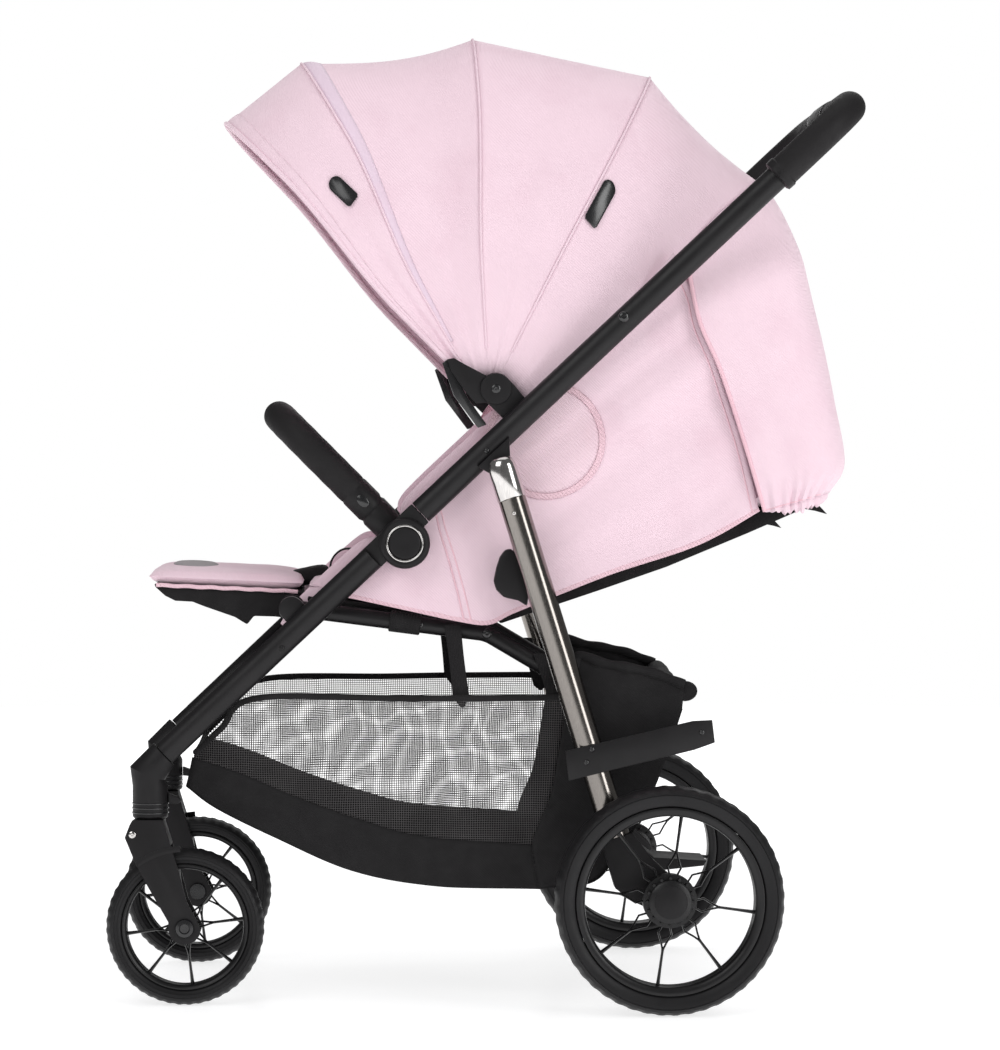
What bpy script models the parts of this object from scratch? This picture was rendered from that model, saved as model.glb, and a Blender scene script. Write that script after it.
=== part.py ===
"""A four-wheeled folding baby stroller with a reclined seat, an open canopy and a basket.

The front is -X, the left side is -Y and +Z is up. The origin lies on the ground, under the middle
of the stroller. Each part is one closed object; parts that move hang from an empty on their axis.
"""

import math

import bmesh
import bpy
from mathutils import Vector

# ---------------------------------------------------------------- driving dimensions (metres)
GAP = 0.0003                # between faces that touch

# main tubes: one straight line from the front wheels to the handle, seen from the side
TUBE_FOOT = (-0.3714, 0.2767)
TUBE_ANGLE = math.radians(43.3)
TUBE_LENGTH = 0.955
TUBE_WIDTH = 0.022
TUBE_HEIGHT = 0.028
FOOT_HALF_TRACK = 0.178
HANDLE_HALF_TRACK = 0.235

# distances along the main tubes, and below their axis, of what is fixed to them
HINGE_ALONG = 0.370
HINGE_DROP = 0.0127
HINGE_RADIUS = 0.028
HINGE_ARM = 0.037
SEAT_PIVOT_ALONG = 0.2267
SEAT_PIVOT_DROP = -0.0203
LEG_PIVOT_ALONG = 0.506
LEG_PIVOT_DROP = 0.027
CANOPY_ALONG = 0.5629
CANOPY_DROP = -0.0428
CROSSBAR_ALONG = 1.0725
GRIP_RADIUS = 0.0182
GRIP_BEND = 0.075

# wheels
REAR_RADIUS = 0.1275
REAR_WIDTH = 0.040
REAR_AXLE_X = 0.1983
REAR_TRACK = 0.270          # half the distance between the rear wheels
FRONT_RADIUS = 0.089
FRONT_WIDTH = 0.030
FRONT_TRACK = 0.170
SWIVEL_X = -0.3793
TRAIL = 0.0391
SPOKES = 8
REAR_BEAD = 0.1050          # where a tyre sits on its rim
FRONT_BEAD = 0.0715
FORK_CHEEK = 0.0075         # from the wheel's side to the outside of the fork
AXLE_BOLT = 0.005
REAR_FIRST_SPOKE = math.radians(-8)
FRONT_FIRST_SPOKE = math.radians(7)

# rear legs
LEG_RADIUS = 0.0155
LEG_Y = 0.230
LEG_FOOT = (0.1418, 0.195)
CROSS_TUBE = (0.165, 0.150)
CROSS_TUBE_RADIUS = 0.011

# seat
SEAT_HINGE = (0.0, 0.4181)  # where the backrest turns
LINK_PIVOT = (0.080, 0.3707)
SEAT_BAR_Y = 0.160
SEAT_BAR_RADIUS = 0.0095
SEAT_HALF_WIDTH = 0.150
RECLINE_ANGLE = math.radians(21.6)
BACKREST_LENGTH = 0.412
LEGREST_TIP = (-0.3804, 0.4807)
BUMPER_END = (-0.2327, 0.661)
BUMPER_Y = 0.166
BUMPER_RADIUS = 0.0175

# canopy: ribs in planes through the pivot axis, by their angle and their reach
CANOPY_HALF_WIDTH = 0.192
RIB_FRONT = (120.0, 0.440)
RIB_MIDDLE = (92.9, 0.410)
RIB_REAR = (63.0, 0.411)
VISOR_ANGLE = 134.7
VISOR_REACH = 0.436
CANOPY_REAR = (44.0, 0.398)
SEAM_CLEARANCE = 0.9        # degrees between a rib and the cloth beside it
CANOPY_ROWS = 4
CANOPY_CUT = 0.30           # how far up the hoops the cloth starts, as an angle
RIB_RADIUS = 0.0026
FABRIC = 0.003

ROUND = 16                  # sides of a round tube


# ---------------------------------------------------------------- materials
def material(name, colour, roughness, metallic=0.0):
    """A Principled material of one colour; one is made for each part."""
    made = bpy.data.materials.new(name)
    made.use_nodes = True
    shader = made.node_tree.nodes["Principled BSDF"]
    shader.inputs["Base Color"].default_value = (*colour, 1.0)
    shader.inputs["Roughness"].default_value = roughness
    shader.inputs["Metallic"].default_value = metallic
    made.diffuse_color = (*colour, 1.0)
    return made


BLACK_PAINT = ((0.016, 0.015, 0.016), 0.42, 0.35)
BLACK_PLASTIC = ((0.018, 0.017, 0.018), 0.5, 0.0)
BLACK_FOAM = ((0.012, 0.011, 0.012), 0.8, 0.0)
BLACK_FABRIC = ((0.014, 0.013, 0.014), 0.9, 0.0)
GREY_MESH = ((0.30, 0.29, 0.29), 0.85, 0.0)
GUNMETAL = ((0.23, 0.215, 0.20), 0.16, 1.0)
TYRE = ((0.014, 0.014, 0.015), 0.7, 0.0)
PINK = ((0.89, 0.63, 0.69), 0.85, 0.0)


# ---------------------------------------------------------------- shape helpers
def clear_scene():
    """Removes whatever is in the scene."""
    for old in list(bpy.data.objects):
        bpy.data.objects.remove(old, do_unlink=True)


def pivot(name, point, parent=None):
    """An empty on a joint's axis, for what turns or slides there."""
    empty = bpy.data.objects.new(name, None)
    empty.empty_display_size = 0.03
    bpy.context.collection.objects.link(empty)
    if parent is not None:
        empty.parent = parent
        empty.location = Vector(point) - world_place(parent)
    else:
        empty.location = point
    return empty


def world_place(empty):
    """Where an empty stands, with its parents added up."""
    place = Vector(empty.location)
    while empty.parent is not None:
        empty = empty.parent
        place += empty.location
    return place


def solid(name, bm, look, parent, smooth=35.0):
    """Turns a bmesh in row coordinates into an object whose origin is its parent's place."""
    place = world_place(parent)
    bmesh.ops.translate(bm, vec=-place, verts=bm.verts)
    bmesh.ops.recalc_face_normals(bm, faces=bm.faces)
    mesh = bpy.data.meshes.new(name)
    bm.to_mesh(mesh)
    bm.free()
    mesh.shade_smooth()
    mesh.set_sharp_from_angle(angle=math.radians(smooth))
    mesh.materials.append(material(name, *look))
    made = bpy.data.objects.new(name, mesh)
    bpy.context.collection.objects.link(made)
    made.parent = parent
    return made


def tool(name, bm, parent):
    """A hidden shape for a Boolean."""
    made = solid(name, bm, BLACK_PLASTIC, parent)
    made.hide_render = True
    made.display_type = "WIRE"
    return made


def combine(target, other, operation):
    """Cuts, or joins on, a hidden tool."""
    step = target.modifiers.new(other.name, "BOOLEAN")
    step.operation = operation
    step.object = other
    step.solver = "EXACT"


def loft_mesh(rings):
    """A solid through rings of points, closed at both ends."""
    bm = bmesh.new()
    rows = [[bm.verts.new(point) for point in ring] for ring in rings]
    count = len(rows[0])
    for low, high in zip(rows, rows[1:]):
        for i in range(count):
            j = (i + 1) % count
            bm.faces.new((low[i], low[j], high[j], high[i]))
    bm.faces.new(reversed(rows[0]))
    bm.faces.new(rows[-1])
    return bm


def oval(centre, side, up, half_width, half_height, count=ROUND):
    """An ellipse of points round centre, in the plane of two unit vectors."""
    points = []
    for k in range(count):
        turn = 2 * math.pi * k / count
        points.append(centre + side * (half_width * math.cos(turn)) + up * (half_height * math.sin(turn)))
    return points


def tube_mesh(path, half_width, half_height=None, side=(0, 1, 0), count=ROUND):
    """A tube along a path; its width lies along side at the start and follows the bends."""
    half_height = half_height or half_width
    side = Vector(side)
    rings = []
    for k, point in enumerate(path):
        before = path[max(k - 1, 0)]
        after = path[min(k + 1, len(path) - 1)]
        along = (after - before).normalized()
        side = (side - along * side.dot(along)).normalized()
        rings.append(oval(point, side, along.cross(side), half_width, half_height, count))
    return loft_mesh(rings)


def rounded(points, radius, steps=5):
    """A path through points whose inner corners are arcs of about the given radius."""
    points = [Vector(p) for p in points]
    path = [points[0]]
    for before, corner, after in zip(points, points[1:], points[2:]):
        back = (before - corner).normalized()
        on = (after - corner).normalized()
        half = back.angle(on) / 2
        reach = radius / math.tan(half)
        start = corner + back * reach
        end = corner + on * reach
        for k in range(steps + 1):
            t = k / steps
            path.append(start * (1 - t) ** 2 + corner * (2 * t * (1 - t)) + end * t ** 2)
    path.append(points[-1])
    return path


def prism_mesh(outline, y_low, y_high):
    """A plate with an outline of (x, z) points, between two planes across Y."""
    return loft_mesh([[Vector((x, y, z)) for x, z in outline] for y in (y_low, y_high)])


def turned_mesh(profile, centre, axis=(0, 1, 0), steps=36, start=0.0, ring=False):
    """A profile of (radius, distance along the axis) points, turned round the axis at centre."""
    axis = Vector(axis)
    first = Vector((0, 0, -1)) if abs(axis.z) < 0.5 else Vector((1, 0, 0))
    second = axis.cross(first)
    bm = bmesh.new()
    rows = []
    for radius, along in profile:
        middle = Vector(centre) + axis * along
        if radius < 1e-6:
            rows.append([bm.verts.new(middle)] * steps)
            continue
        row = []
        for k in range(steps):
            turn = start + 2 * math.pi * k / steps
            row.append(bm.verts.new(middle + (first * math.cos(turn) + second * math.sin(turn)) * radius))
        rows.append(row)
    pairs = list(zip(rows, rows[1:]))
    if ring:
        pairs.append((rows[-1], rows[0]))
    for low, high in pairs:
        for i in range(steps):
            j = (i + 1) % steps
            corners = []
            for corner in (low[i], low[j], high[j], high[i]):
                if corner not in corners:
                    corners.append(corner)
            bm.faces.new(corners)
    return bm


def sheet_solid(name, rows, look, parent, thickness=FABRIC):
    """A grid of points as a sheet of even thickness, with the points on its outer face."""
    bm = bmesh.new()
    grid = [[bm.verts.new(point) for point in row] for row in rows]
    for low, high in zip(grid, grid[1:]):
        for i in range(len(low) - 1):
            bm.faces.new((low[i], low[i + 1], high[i + 1], high[i]))
    made = solid(name, bm, look, parent)
    thicken = made.modifiers.new("Thickness", "SOLIDIFY")
    thicken.thickness = thickness
    thicken.offset = -1.0
    thicken.use_even_offset = True
    return made


def arc(centre, radius, start, end, steps):
    """(x, z) points on a circle, angles in degrees, counter-clockwise when end is larger."""
    points = []
    for k in range(steps + 1):
        turn = math.radians(start + (end - start) * k / steps)
        points.append((centre[0] + radius * math.cos(turn), centre[1] + radius * math.sin(turn)))
    return points


# ---------------------------------------------------------------- places
TUBE_DIRECTION = Vector((math.cos(TUBE_ANGLE), 0, math.sin(TUBE_ANGLE)))
TUBE_DOWN = Vector((math.sin(TUBE_ANGLE), 0, -math.cos(TUBE_ANGLE)))


def tube_y(along):
    """The main tubes spread towards the handle."""
    return FOOT_HALF_TRACK + (HANDLE_HALF_TRACK - FOOT_HALF_TRACK) * along / TUBE_LENGTH


def on_tube(along, drop=0.0, side=0):
    """A point at a distance along a main tube and below its axis; side 0 is the middle plane."""
    point = Vector((TUBE_FOOT[0], 0, TUBE_FOOT[1])) + TUBE_DIRECTION * along + TUBE_DOWN * drop
    point.y = side * tube_y(along)
    return point


def flat(point):
    """The (x, z) of a point."""
    return point.x, point.z


HINGE = on_tube(HINGE_ALONG, HINGE_DROP)
SEAT_PIVOT = on_tube(SEAT_PIVOT_ALONG, SEAT_PIVOT_DROP)
LEG_PIVOT = on_tube(LEG_PIVOT_ALONG, LEG_PIVOT_DROP)
CANOPY_PIVOT = on_tube(CANOPY_ALONG, CANOPY_DROP)
FRONT_AXLE_X = SWIVEL_X + TRAIL
SIDES = (("left", -1), ("right", 1))


def span(side, inner, outer):
    """Two distances from the middle plane as low and high Y on one side."""
    return min(side * inner, side * outer), max(side * inner, side * outer)


# ---------------------------------------------------------------- lower frame
def lower_tube(name, side, body):
    """From the front wheel to the fold hinge, with the plate that carries the seat's front pivot.

    The inner plate of the fold hinge is welded to its upper end.
    """
    path = [on_tube(0.012, 0, side), on_tube(HINGE_ALONG - HINGE_ARM, 0, side)]
    made = solid(name, tube_mesh(path, TUBE_WIDTH / 2, TUBE_HEIGHT / 2), BLACK_PAINT, body)
    turn = math.degrees(TUBE_ANGLE)
    outline = arc(flat(SEAT_PIVOT), 0.014, turn, turn + 180, 8)
    outline.append(flat(on_tube(SEAT_PIVOT_ALONG - 0.014, -0.002)))
    outline.append(flat(on_tube(SEAT_PIVOT_ALONG + 0.014, -0.002)))
    plate = tool(name + "_plate", prism_mesh(outline, *span(side, 0.1715, 0.1860)), body)
    combine(made, plate, "UNION")
    middle = tube_y(HINGE_ALONG)
    outline = hinge_outline(-1, HINGE_ARM + 0.010)
    layer = span(side, middle - TUBE_WIDTH / 2, middle - GAP)
    inner = tool(name + "_hinge", prism_mesh(outline, *layer), body)
    combine(made, inner, "UNION")
    return made


def front_cross_tube(body):
    """Joins the feet of the two main tubes."""
    half = tube_y(0.035) - TUBE_WIDTH / 2 - 0.0015
    centre = on_tube(0.035)
    path = [centre - Vector((0, half, 0)), centre + Vector((0, half, 0))]
    return solid("front_cross_tube", tube_mesh(path, 0.008, side=(1, 0, 0), count=12), BLACK_PAINT, body)


def hinge_outline(way, arm):
    """A disc round the fold axis with an arm along the main tube; way is +1 up the tube, -1 down it."""
    top = -HINGE_DROP - TUBE_HEIGHT / 2
    bottom = -HINGE_DROP + TUBE_HEIGHT / 2
    leave = math.degrees(math.asin(-top / HINGE_RADIUS))
    join = math.degrees(math.asin(-bottom / HINGE_RADIUS))
    points = [(arm, bottom), (arm, top)]
    for k in range(17):
        turn = math.radians(leave + (360 + join - leave) * k / 16)
        points.append((HINGE_RADIUS * math.cos(turn), -HINGE_RADIUS * math.sin(turn)))
    return [flat(HINGE + TUBE_DIRECTION * (way * a) + TUBE_DOWN * d) for a, d in points]


def fold_hinge(name, side, body):
    """The outer plate of the fold hinge, which carries the upper tube."""
    middle = tube_y(HINGE_ALONG)
    layer = span(side, middle + GAP, middle + TUBE_WIDTH / 2 + 0.001)
    return solid(name, prism_mesh(hinge_outline(1, HINGE_ARM - 0.001), *layer), BLACK_PLASTIC, body)


def fork_head(name, side, body):
    """The round swivel housing over a front wheel and the socket that the main tube ends in."""
    y = side * FRONT_TRACK
    rings = []
    for z, radius in ((0.2113, 0.0185), (0.2135, 0.020), (0.248, 0.020)):
        rings.append(oval(Vector((SWIVEL_X, y, z)), Vector((0, 1, 0)), Vector((-1, 0, 0)), radius, radius))
    foot = on_tube(0.0105, 0, side)
    lean = math.radians(22)
    middle = Vector((SWIVEL_X - 0.003, (y + foot.y) / 2, 0.262))
    up = Vector((-math.cos(lean), 0, math.sin(lean)))
    rings.append(oval(middle, Vector((0, 1, 0)), up, 0.0185, 0.021))
    rings.append(oval(foot, Vector((0, 1, 0)), -TUBE_DOWN, 0.014, 0.017))
    return solid(name, loft_mesh(rings), BLACK_PLASTIC, body)


def swivel_lock(name, side, body):
    """The tab behind a swivel housing that locks the front wheel straight."""
    outline = [(-0.3588, 0.2285), (-0.3475, 0.2275), (-0.3445, 0.2310), (-0.3475, 0.2350), (-0.3588, 0.2390)]
    y = side * FRONT_TRACK
    return solid(name, prism_mesh(outline, y - 0.007, y + 0.007), BLACK_PLASTIC, body)


def basket(body):
    """An open tub of cloth with a low front, straight sides and a high back."""
    rim = [(-0.330, 0.280), (-0.261, 0.348), (0.075, 0.348), (0.112, 0.392), (0.1885, 0.378), (0.235, 0.346)]
    under = [(0.218, 0.335), (0.174, 0.215), (0.120, 0.139), (0.059, 0.131), (-0.064, 0.135)]
    under += [(-0.154, 0.151), (-0.239, 0.187), (-0.306, 0.2200), (-0.340, 0.245)]

    def half_width(x):
        return 0.155 + 0.050 * min(1.0, (x + 0.345) / 0.30)

    bm = bmesh.new()
    walls = []
    for side in (-1, 1):
        row = []
        for x, z in rim + under:
            inset = 0.02 if (x, z) in under else 0.0
            row.append(bm.verts.new((x, side * (half_width(x) - inset), z)))
        walls.append(row)
    count = len(rim) + len(under)
    bm.faces.new(walls[0])
    bm.faces.new(reversed(walls[1]))
    for i in range(len(rim) - 1, count):
        j = (i + 1) % count
        bm.faces.new((walls[0][i], walls[1][i], walls[1][j], walls[0][j]))
    bmesh.ops.triangulate(bm, faces=[f for f in bm.faces if len(f.verts) > 4])
    made = solid("basket", bm, GREY_MESH, body)
    thicken = made.modifiers.new("Thickness", "SOLIDIFY")
    thicken.thickness = FABRIC
    thicken.offset = -1.0
    thicken.use_even_offset = True
    return made


# ---------------------------------------------------------------- upper frame
def upper_tube(name, side, body):
    """From the fold hinge to the handle, with the lug that the rear leg hangs from."""
    path = [on_tube(HINGE_ALONG + HINGE_ARM, 0, side), on_tube(TUBE_LENGTH, 0, side)]
    made = solid(name, tube_mesh(path, TUBE_WIDTH / 2, TUBE_HEIGHT / 2), BLACK_PAINT, body)
    turn = math.degrees(TUBE_ANGLE)
    outline = arc(flat(LEG_PIVOT), 0.012, turn - 180, turn, 8)
    outline.append(flat(on_tube(LEG_PIVOT_ALONG + 0.030, 0.006)))
    outline.append(flat(on_tube(LEG_PIVOT_ALONG - 0.018, 0.006)))
    lug = tool(name + "_lug", prism_mesh(outline, *span(side, 0.2120, 0.2255)), body)
    combine(made, lug, "UNION")
    return made


def hinge_cap(name, side, body):
    """The round cover outside the fold hinge, dished inside a raised ring."""
    outer = tube_y(HINGE_ALONG) + TUBE_WIDTH / 2 + 0.001 + GAP
    profile = [(0, 0), (0.027, 0), (0.028, 0.0015), (0.0262, 0.0068), (0.0225, 0.008), (0.0175, 0.0080)]
    profile += [(0.0165, 0.0062), (0, 0.0062)]
    centre = (HINGE.x, side * outer, HINGE.z)
    return solid(name, turned_mesh(profile, centre, (0, side, 0), 32), BLACK_PLASTIC, body)


def handle_grip(name, side, body):
    """A collar and a foam grip that bends into the crossbar."""
    start = on_tube(TUBE_LENGTH + GAP, 0, side)
    corner = on_tube(CROSSBAR_ALONG)
    corner.y = side * (HANDLE_HALF_TRACK + 0.008)
    inner = corner.copy()
    inner.y = side * (0.055 + GAP)
    path = rounded([start, corner, inner], GRIP_BEND, 8)
    return solid(name, tube_mesh(path, GRIP_RADIUS), BLACK_FOAM, body)


def fold_housing(body):
    """The housing in the middle of the crossbar, with a well for the fold button."""
    centre = on_tube(CROSSBAR_ALONG)
    left_half = [(-0.055, 0.0182), (-0.050, 0.0195), (-0.030, 0.0200)]
    right_half = [(-y, size) for y, size in reversed(left_half)]
    rings = []
    for y, size in left_half + right_half:
        rings.append(oval(centre + Vector((0, y, 0)), TUBE_DIRECTION, -TUBE_DOWN, size, size))
    made = solid("fold_housing", loft_mesh(rings), BLACK_PLASTIC, body)
    well = []
    for depth in (0.010, 0.030):
        spot = centre + TUBE_DIRECTION * -depth
        well.append(oval(spot, Vector((0, 1, 0)), TUBE_DOWN, 0.0163, 0.0083, 20))
    combine(made, tool("fold_housing_well", loft_mesh(well), body), "DIFFERENCE")
    return made


def fold_button(body):
    """The button in the handle that lets the frame fold; it is pressed up the handle's slope."""
    centre = on_tube(CROSSBAR_ALONG)
    rings = []
    for depth, inset in ((0.0165, 0.0), (0.0235, 0.0), (0.0250, 0.002)):
        spot = centre + TUBE_DIRECTION * -depth
        rings.append(oval(spot, Vector((0, 1, 0)), TUBE_DOWN, 0.0158 - inset, 0.0078 - inset, 20))
    return solid("fold_button", loft_mesh(rings), BLACK_PLASTIC, body)


def canopy_bracket(name, side, body):
    """The clamp on a main tube that the canopy turns on."""
    turn = math.degrees(TUBE_ANGLE)
    outline = arc(flat(CANOPY_PIVOT), 0.018, turn, turn + 180, 12)
    outline.append(flat(on_tube(CANOPY_ALONG - 0.016, 0.010)))
    outline.append(flat(on_tube(CANOPY_ALONG + 0.016, 0.010)))
    face = tube_y(CANOPY_ALONG) - TUBE_WIDTH / 2 - 0.0015
    return solid(name, prism_mesh(outline, *span(side, face - 0.008, face)), BLACK_PLASTIC, body)


def side_panel(name, side, body):
    """The cloth wall between a main tube, the seat and the back."""
    outline = [(-0.150, 0.460), (-0.0867, 0.4449), (-0.0359, 0.4337), (0.0013, 0.4305), (0.0802, 0.4625)]
    outline += [(0.1332, 0.4790), (0.2950, 0.5460), (0.2800, 0.640), (0.2500, 0.720), (0.2260, 0.7900)]
    outline += [flat(on_tube(0.80, -0.020)), flat(on_tube(0.47, -0.026)), flat(on_tube(0.42, -0.022))]
    outline += [flat(on_tube(0.41, 0.002)), flat(on_tube(0.29, 0.006))]
    return solid(name, prism_mesh(outline, *span(side, 0.1712, 0.1712 + FABRIC)), PINK, body)


def back_flap(body):
    """The cloth bag behind the backrest, from the canopy down to a gathered hem."""
    front = [(0.310, 0.560), (0.291, 0.6254), (0.263, 0.715), (0.237, 0.785), (0.232, 0.815), (0.176, 0.846)]
    back = [(0.392, 0.556), (0.4121, 0.612), (0.3976, 0.664)]
    back += [(0.3741, 0.7485), (0.3494, 0.8325), (0.3010, 0.9630)]
    plan = [(0.0, 1.0), (0.40, 1.0), (0.66, 0.975), (0.84, 0.90), (0.955, 0.74), (0.99, 0.55), (1.0, 0.28)]
    half_width = 0.196
    rows = []
    for (fx, fz), (bx, bz) in zip(front, back):
        row = [Vector((fx + (bx - fx) * f, -half_width * w, fz + (bz - fz) * f)) for f, w in plan]
        row += [Vector((p.x, -p.y, p.z)) for p in reversed(row)]
        rows.append(row)
    return sheet_solid("back_flap", rows, PINK, body)


# ---------------------------------------------------------------- canopy
def hoop(angle, reach, half_width, count=16, first=0.0):
    """Points of a hoop in a plane through the canopy's pivot axis, from the left to the right."""
    turn = math.radians(angle)
    outward = Vector((math.cos(turn), 0, math.sin(turn)))
    points = []
    for k in range(count + 1):
        u = first + (math.pi - 2 * first) * k / count
        across = -math.copysign(abs(math.cos(u)) ** 0.76, math.cos(u))
        out = math.sin(u) ** 0.76
        points.append(CANOPY_PIVOT + outward * (reach * out) + Vector((0, half_width * across, 0)))
    return points


def canopy_rib(name, rib, foot_y, body):
    """A hoop of flat wire; its two feet lie in their own layer at the pivot."""
    angle, reach = rib
    arch = hoop(angle, reach - 0.007, CANOPY_HALF_WIDTH - 0.008, 22, 0.17)
    outward = Vector((math.cos(math.radians(angle)), 0, math.sin(math.radians(angle))))
    feet = []
    for side in (-1, 1):
        feet.append([CANOPY_PIVOT + outward * r + Vector((0, side * foot_y, 0)) for r in (-0.006, 0.030)])
    path = feet[0] + arch + feet[1][::-1]
    return solid(name, tube_mesh(path, RIB_RADIUS, 0.0045, count=8), BLACK_PLASTIC, body)


def beside(rib, way):
    """The hoop just behind (-1) or just before (1) a rib, where a panel stops."""
    return (rib[0] + way * SEAM_CLEARANCE, rib[1])


def canopy_panel(name, start, end, body):
    """A sheet between two hoops, each given by its angle and reach."""
    grid = []
    for k in range(CANOPY_ROWS + 1):
        t = k / CANOPY_ROWS
        angle = start[0] + (end[0] - start[0]) * t
        reach = start[1] + (end[1] - start[1]) * t
        grid.append(hoop(angle, reach, CANOPY_HALF_WIDTH, 16, CANOPY_CUT))
    return sheet_solid(name, grid, PINK, body)


# ---------------------------------------------------------------- rear legs and wheels
def rear_leg(name, side, body):
    """A round leg with a flat tongue at its top pivot and a stub towards the seat link."""
    foot = Vector((LEG_FOOT[0], side * LEG_Y, LEG_FOOT[1]))
    top = Vector((LEG_PIVOT.x, side * LEG_Y, LEG_PIVOT.z))
    along = (foot - top).normalized()
    made = solid(name, tube_mesh([top + along * 0.014, foot], LEG_RADIUS), GUNMETAL, body)
    across = Vector((-along.z, 0, along.x)) * 0.010
    outline = []
    for k in range(9):
        turn = math.pi * k / 8
        point = top - along * (0.010 * math.sin(turn)) + across * math.cos(turn)
        outline.append(flat(point))
    outline.append(flat(top + along * 0.020 - across))
    outline.append(flat(top + along * 0.020 + across))
    tongue = tool(name + "_tongue", prism_mesh(outline, *span(side, 0.2262, 0.2345)), body)
    combine(made, tongue, "UNION")
    profile = [(0, 0), (0.006, 0), (0.006, 0.058), (0, 0.058)]
    start = (LINK_PIVOT[0], side * 0.1715, LINK_PIVOT[1])
    stub = tool(name + "_stub", turned_mesh(profile, start, (0, side, 0), 12), body)
    combine(made, stub, "UNION")
    return made


def axle_housing(name, side, body):
    """The moulded foot of a rear leg, with the stub axle that its wheel turns on."""
    foot = Vector((LEG_FOOT[0], 0, LEG_FOOT[1]))
    along = (foot - Vector((LEG_PIVOT.x, 0, LEG_PIVOT.z))).normalized()
    across = Vector((-along.z, 0, along.x)) * 0.018
    top = foot + along * GAP
    axle = (REAR_AXLE_X, REAR_RADIUS)
    outline = [flat(top + across), (0.182, 0.170)]
    outline += arc(axle, 0.020, 55, -120, 10)
    outline += [(0.158, 0.124), (0.140, 0.138), flat(top - across)]
    made = solid(name, prism_mesh(outline, *span(side, 0.2160, 0.2440)), BLACK_PLASTIC, body)
    profile = [(0, 0), (0.006, 0), (0.006, 0.052), (0, 0.052)]
    stub = turned_mesh(profile, (axle[0], side * 0.235, axle[1]), (0, side, 0), 24)
    combine(made, tool(name + "_stub", stub, body), "UNION")
    return made


def rear_axle(body):
    """The cross tube between the two rear legs."""
    half = 0.2160 - GAP
    path = [Vector((CROSS_TUBE[0], y, CROSS_TUBE[1])) for y in (-half, half)]
    return solid("rear_axle", tube_mesh(path, CROSS_TUBE_RADIUS, side=(1, 0, 0)), BLACK_PAINT, body)


def parking_foot(name, side, body):
    """A flat steel strip from a rear leg over the wheel, which the folded stroller rests on."""
    low = [(0.088, 0.2585), (0.228, 0.2925), (0.2505, 0.3005)]
    high = [(0.2475, 0.3255), (0.226, 0.3245), (0.084, 0.2915)]
    inner = LEG_Y + LEG_RADIUS + GAP
    return solid(name, prism_mesh(low + high, *span(side, inner, inner + 0.003)), BLACK_PAINT, body)


def brake_pedal(body):
    """A foot pedal that turns on the rear cross tube."""
    outline = arc(CROSS_TUBE, CROSS_TUBE_RADIUS + 0.0006, 70, -70, 8)
    outline += [(0.200, 0.1330), (0.258, 0.1390), (0.262, 0.1450), (0.200, 0.1490), (0.182, 0.1640)]
    return solid("brake_pedal", prism_mesh(outline, -0.040, 0.040), BLACK_PLASTIC, body)


def tyre(name, centre, radius, width, inner, body):
    """A turned tyre with rounded shoulders."""
    half = width / 2
    profile = [(inner, -half * 0.80), (radius - 0.012, -half)]
    profile += [(radius - 0.0035, -half * 0.72), (radius, -half * 0.30)]
    profile += [(r, -along) for r, along in reversed(profile)]
    return solid(name, turned_mesh(profile, centre, steps=36, ring=True), TYRE, body, 25)


def rim(name, centre, radii, width, hub_width, first_spoke, body):
    """A rim ring and a hub joined by Y-shaped spokes: a web whose windows are cut out."""
    inner = radii["inner"]
    hub = radii["hub"]
    half = width / 2
    web = 0.004
    hub_half = hub_width / 2
    profile = [(radii["bore"], -hub_half), (hub, -hub_half), (hub, -web), (inner, -web)]
    profile += [(inner + 0.002, -half), (radii["outer"], -half)]
    profile += [(r, -along) for r, along in reversed(profile)]
    made = solid(name, turned_mesh(profile, centre, steps=36, ring=True), BLACK_PAINT, body)
    fork = inner * 0.60
    blade = 0.0034
    bm = bmesh.new()
    for k in range(SPOKES):
        middle = first_spoke + 2 * math.pi * k / SPOKES
        following = middle + 2 * math.pi / SPOKES
        add_window(bm, centre, wide_window(middle, following, hub + 0.0008, fork, inner - 0.0008, blade))
        add_window(bm, centre, small_window(middle, hub + 0.0008, fork - 0.006))
    combine(made, tool(name + "_windows", bm, body), "DIFFERENCE")
    return made


def polar(turn, radius, aside=0.0):
    """A point at an angle and radius, moved sideways along the circle's direction."""
    x = radius * math.cos(turn) - aside * math.sin(turn)
    y = radius * math.sin(turn) + aside * math.cos(turn)
    return (x, y)


def wide_window(middle, following, hub, fork, inner, blade):
    """The gap between two neighbouring spokes."""
    step = following - middle
    points = [polar(middle, inner * 0.999, blade), polar(middle, fork, blade)]
    points.append(polar(middle + step * 0.5, hub))
    points += [polar(following, fork, -blade), polar(following, inner * 0.999, -blade)]
    points.append(polar(middle + step * 0.5, inner))
    return points


def small_window(middle, hub, fork):
    """The gap between the two legs of one spoke."""
    reach = math.pi / SPOKES * 0.56
    return [polar(middle - reach, hub), polar(middle + reach, hub), polar(middle, fork)]


def add_window(bm, centre, outline):
    """Adds a prism through the wheel to a bmesh of cutters."""
    rows = []
    for y in (-0.012, 0.012):
        rows.append([bm.verts.new((centre[0] + x, centre[1] + y, centre[2] + z)) for x, z in outline])
    count = len(outline)
    for i in range(count):
        j = (i + 1) % count
        bm.faces.new((rows[0][i], rows[0][j], rows[1][j], rows[1][i]))
    bm.faces.new(reversed(rows[0]))
    bm.faces.new(rows[1])


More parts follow.
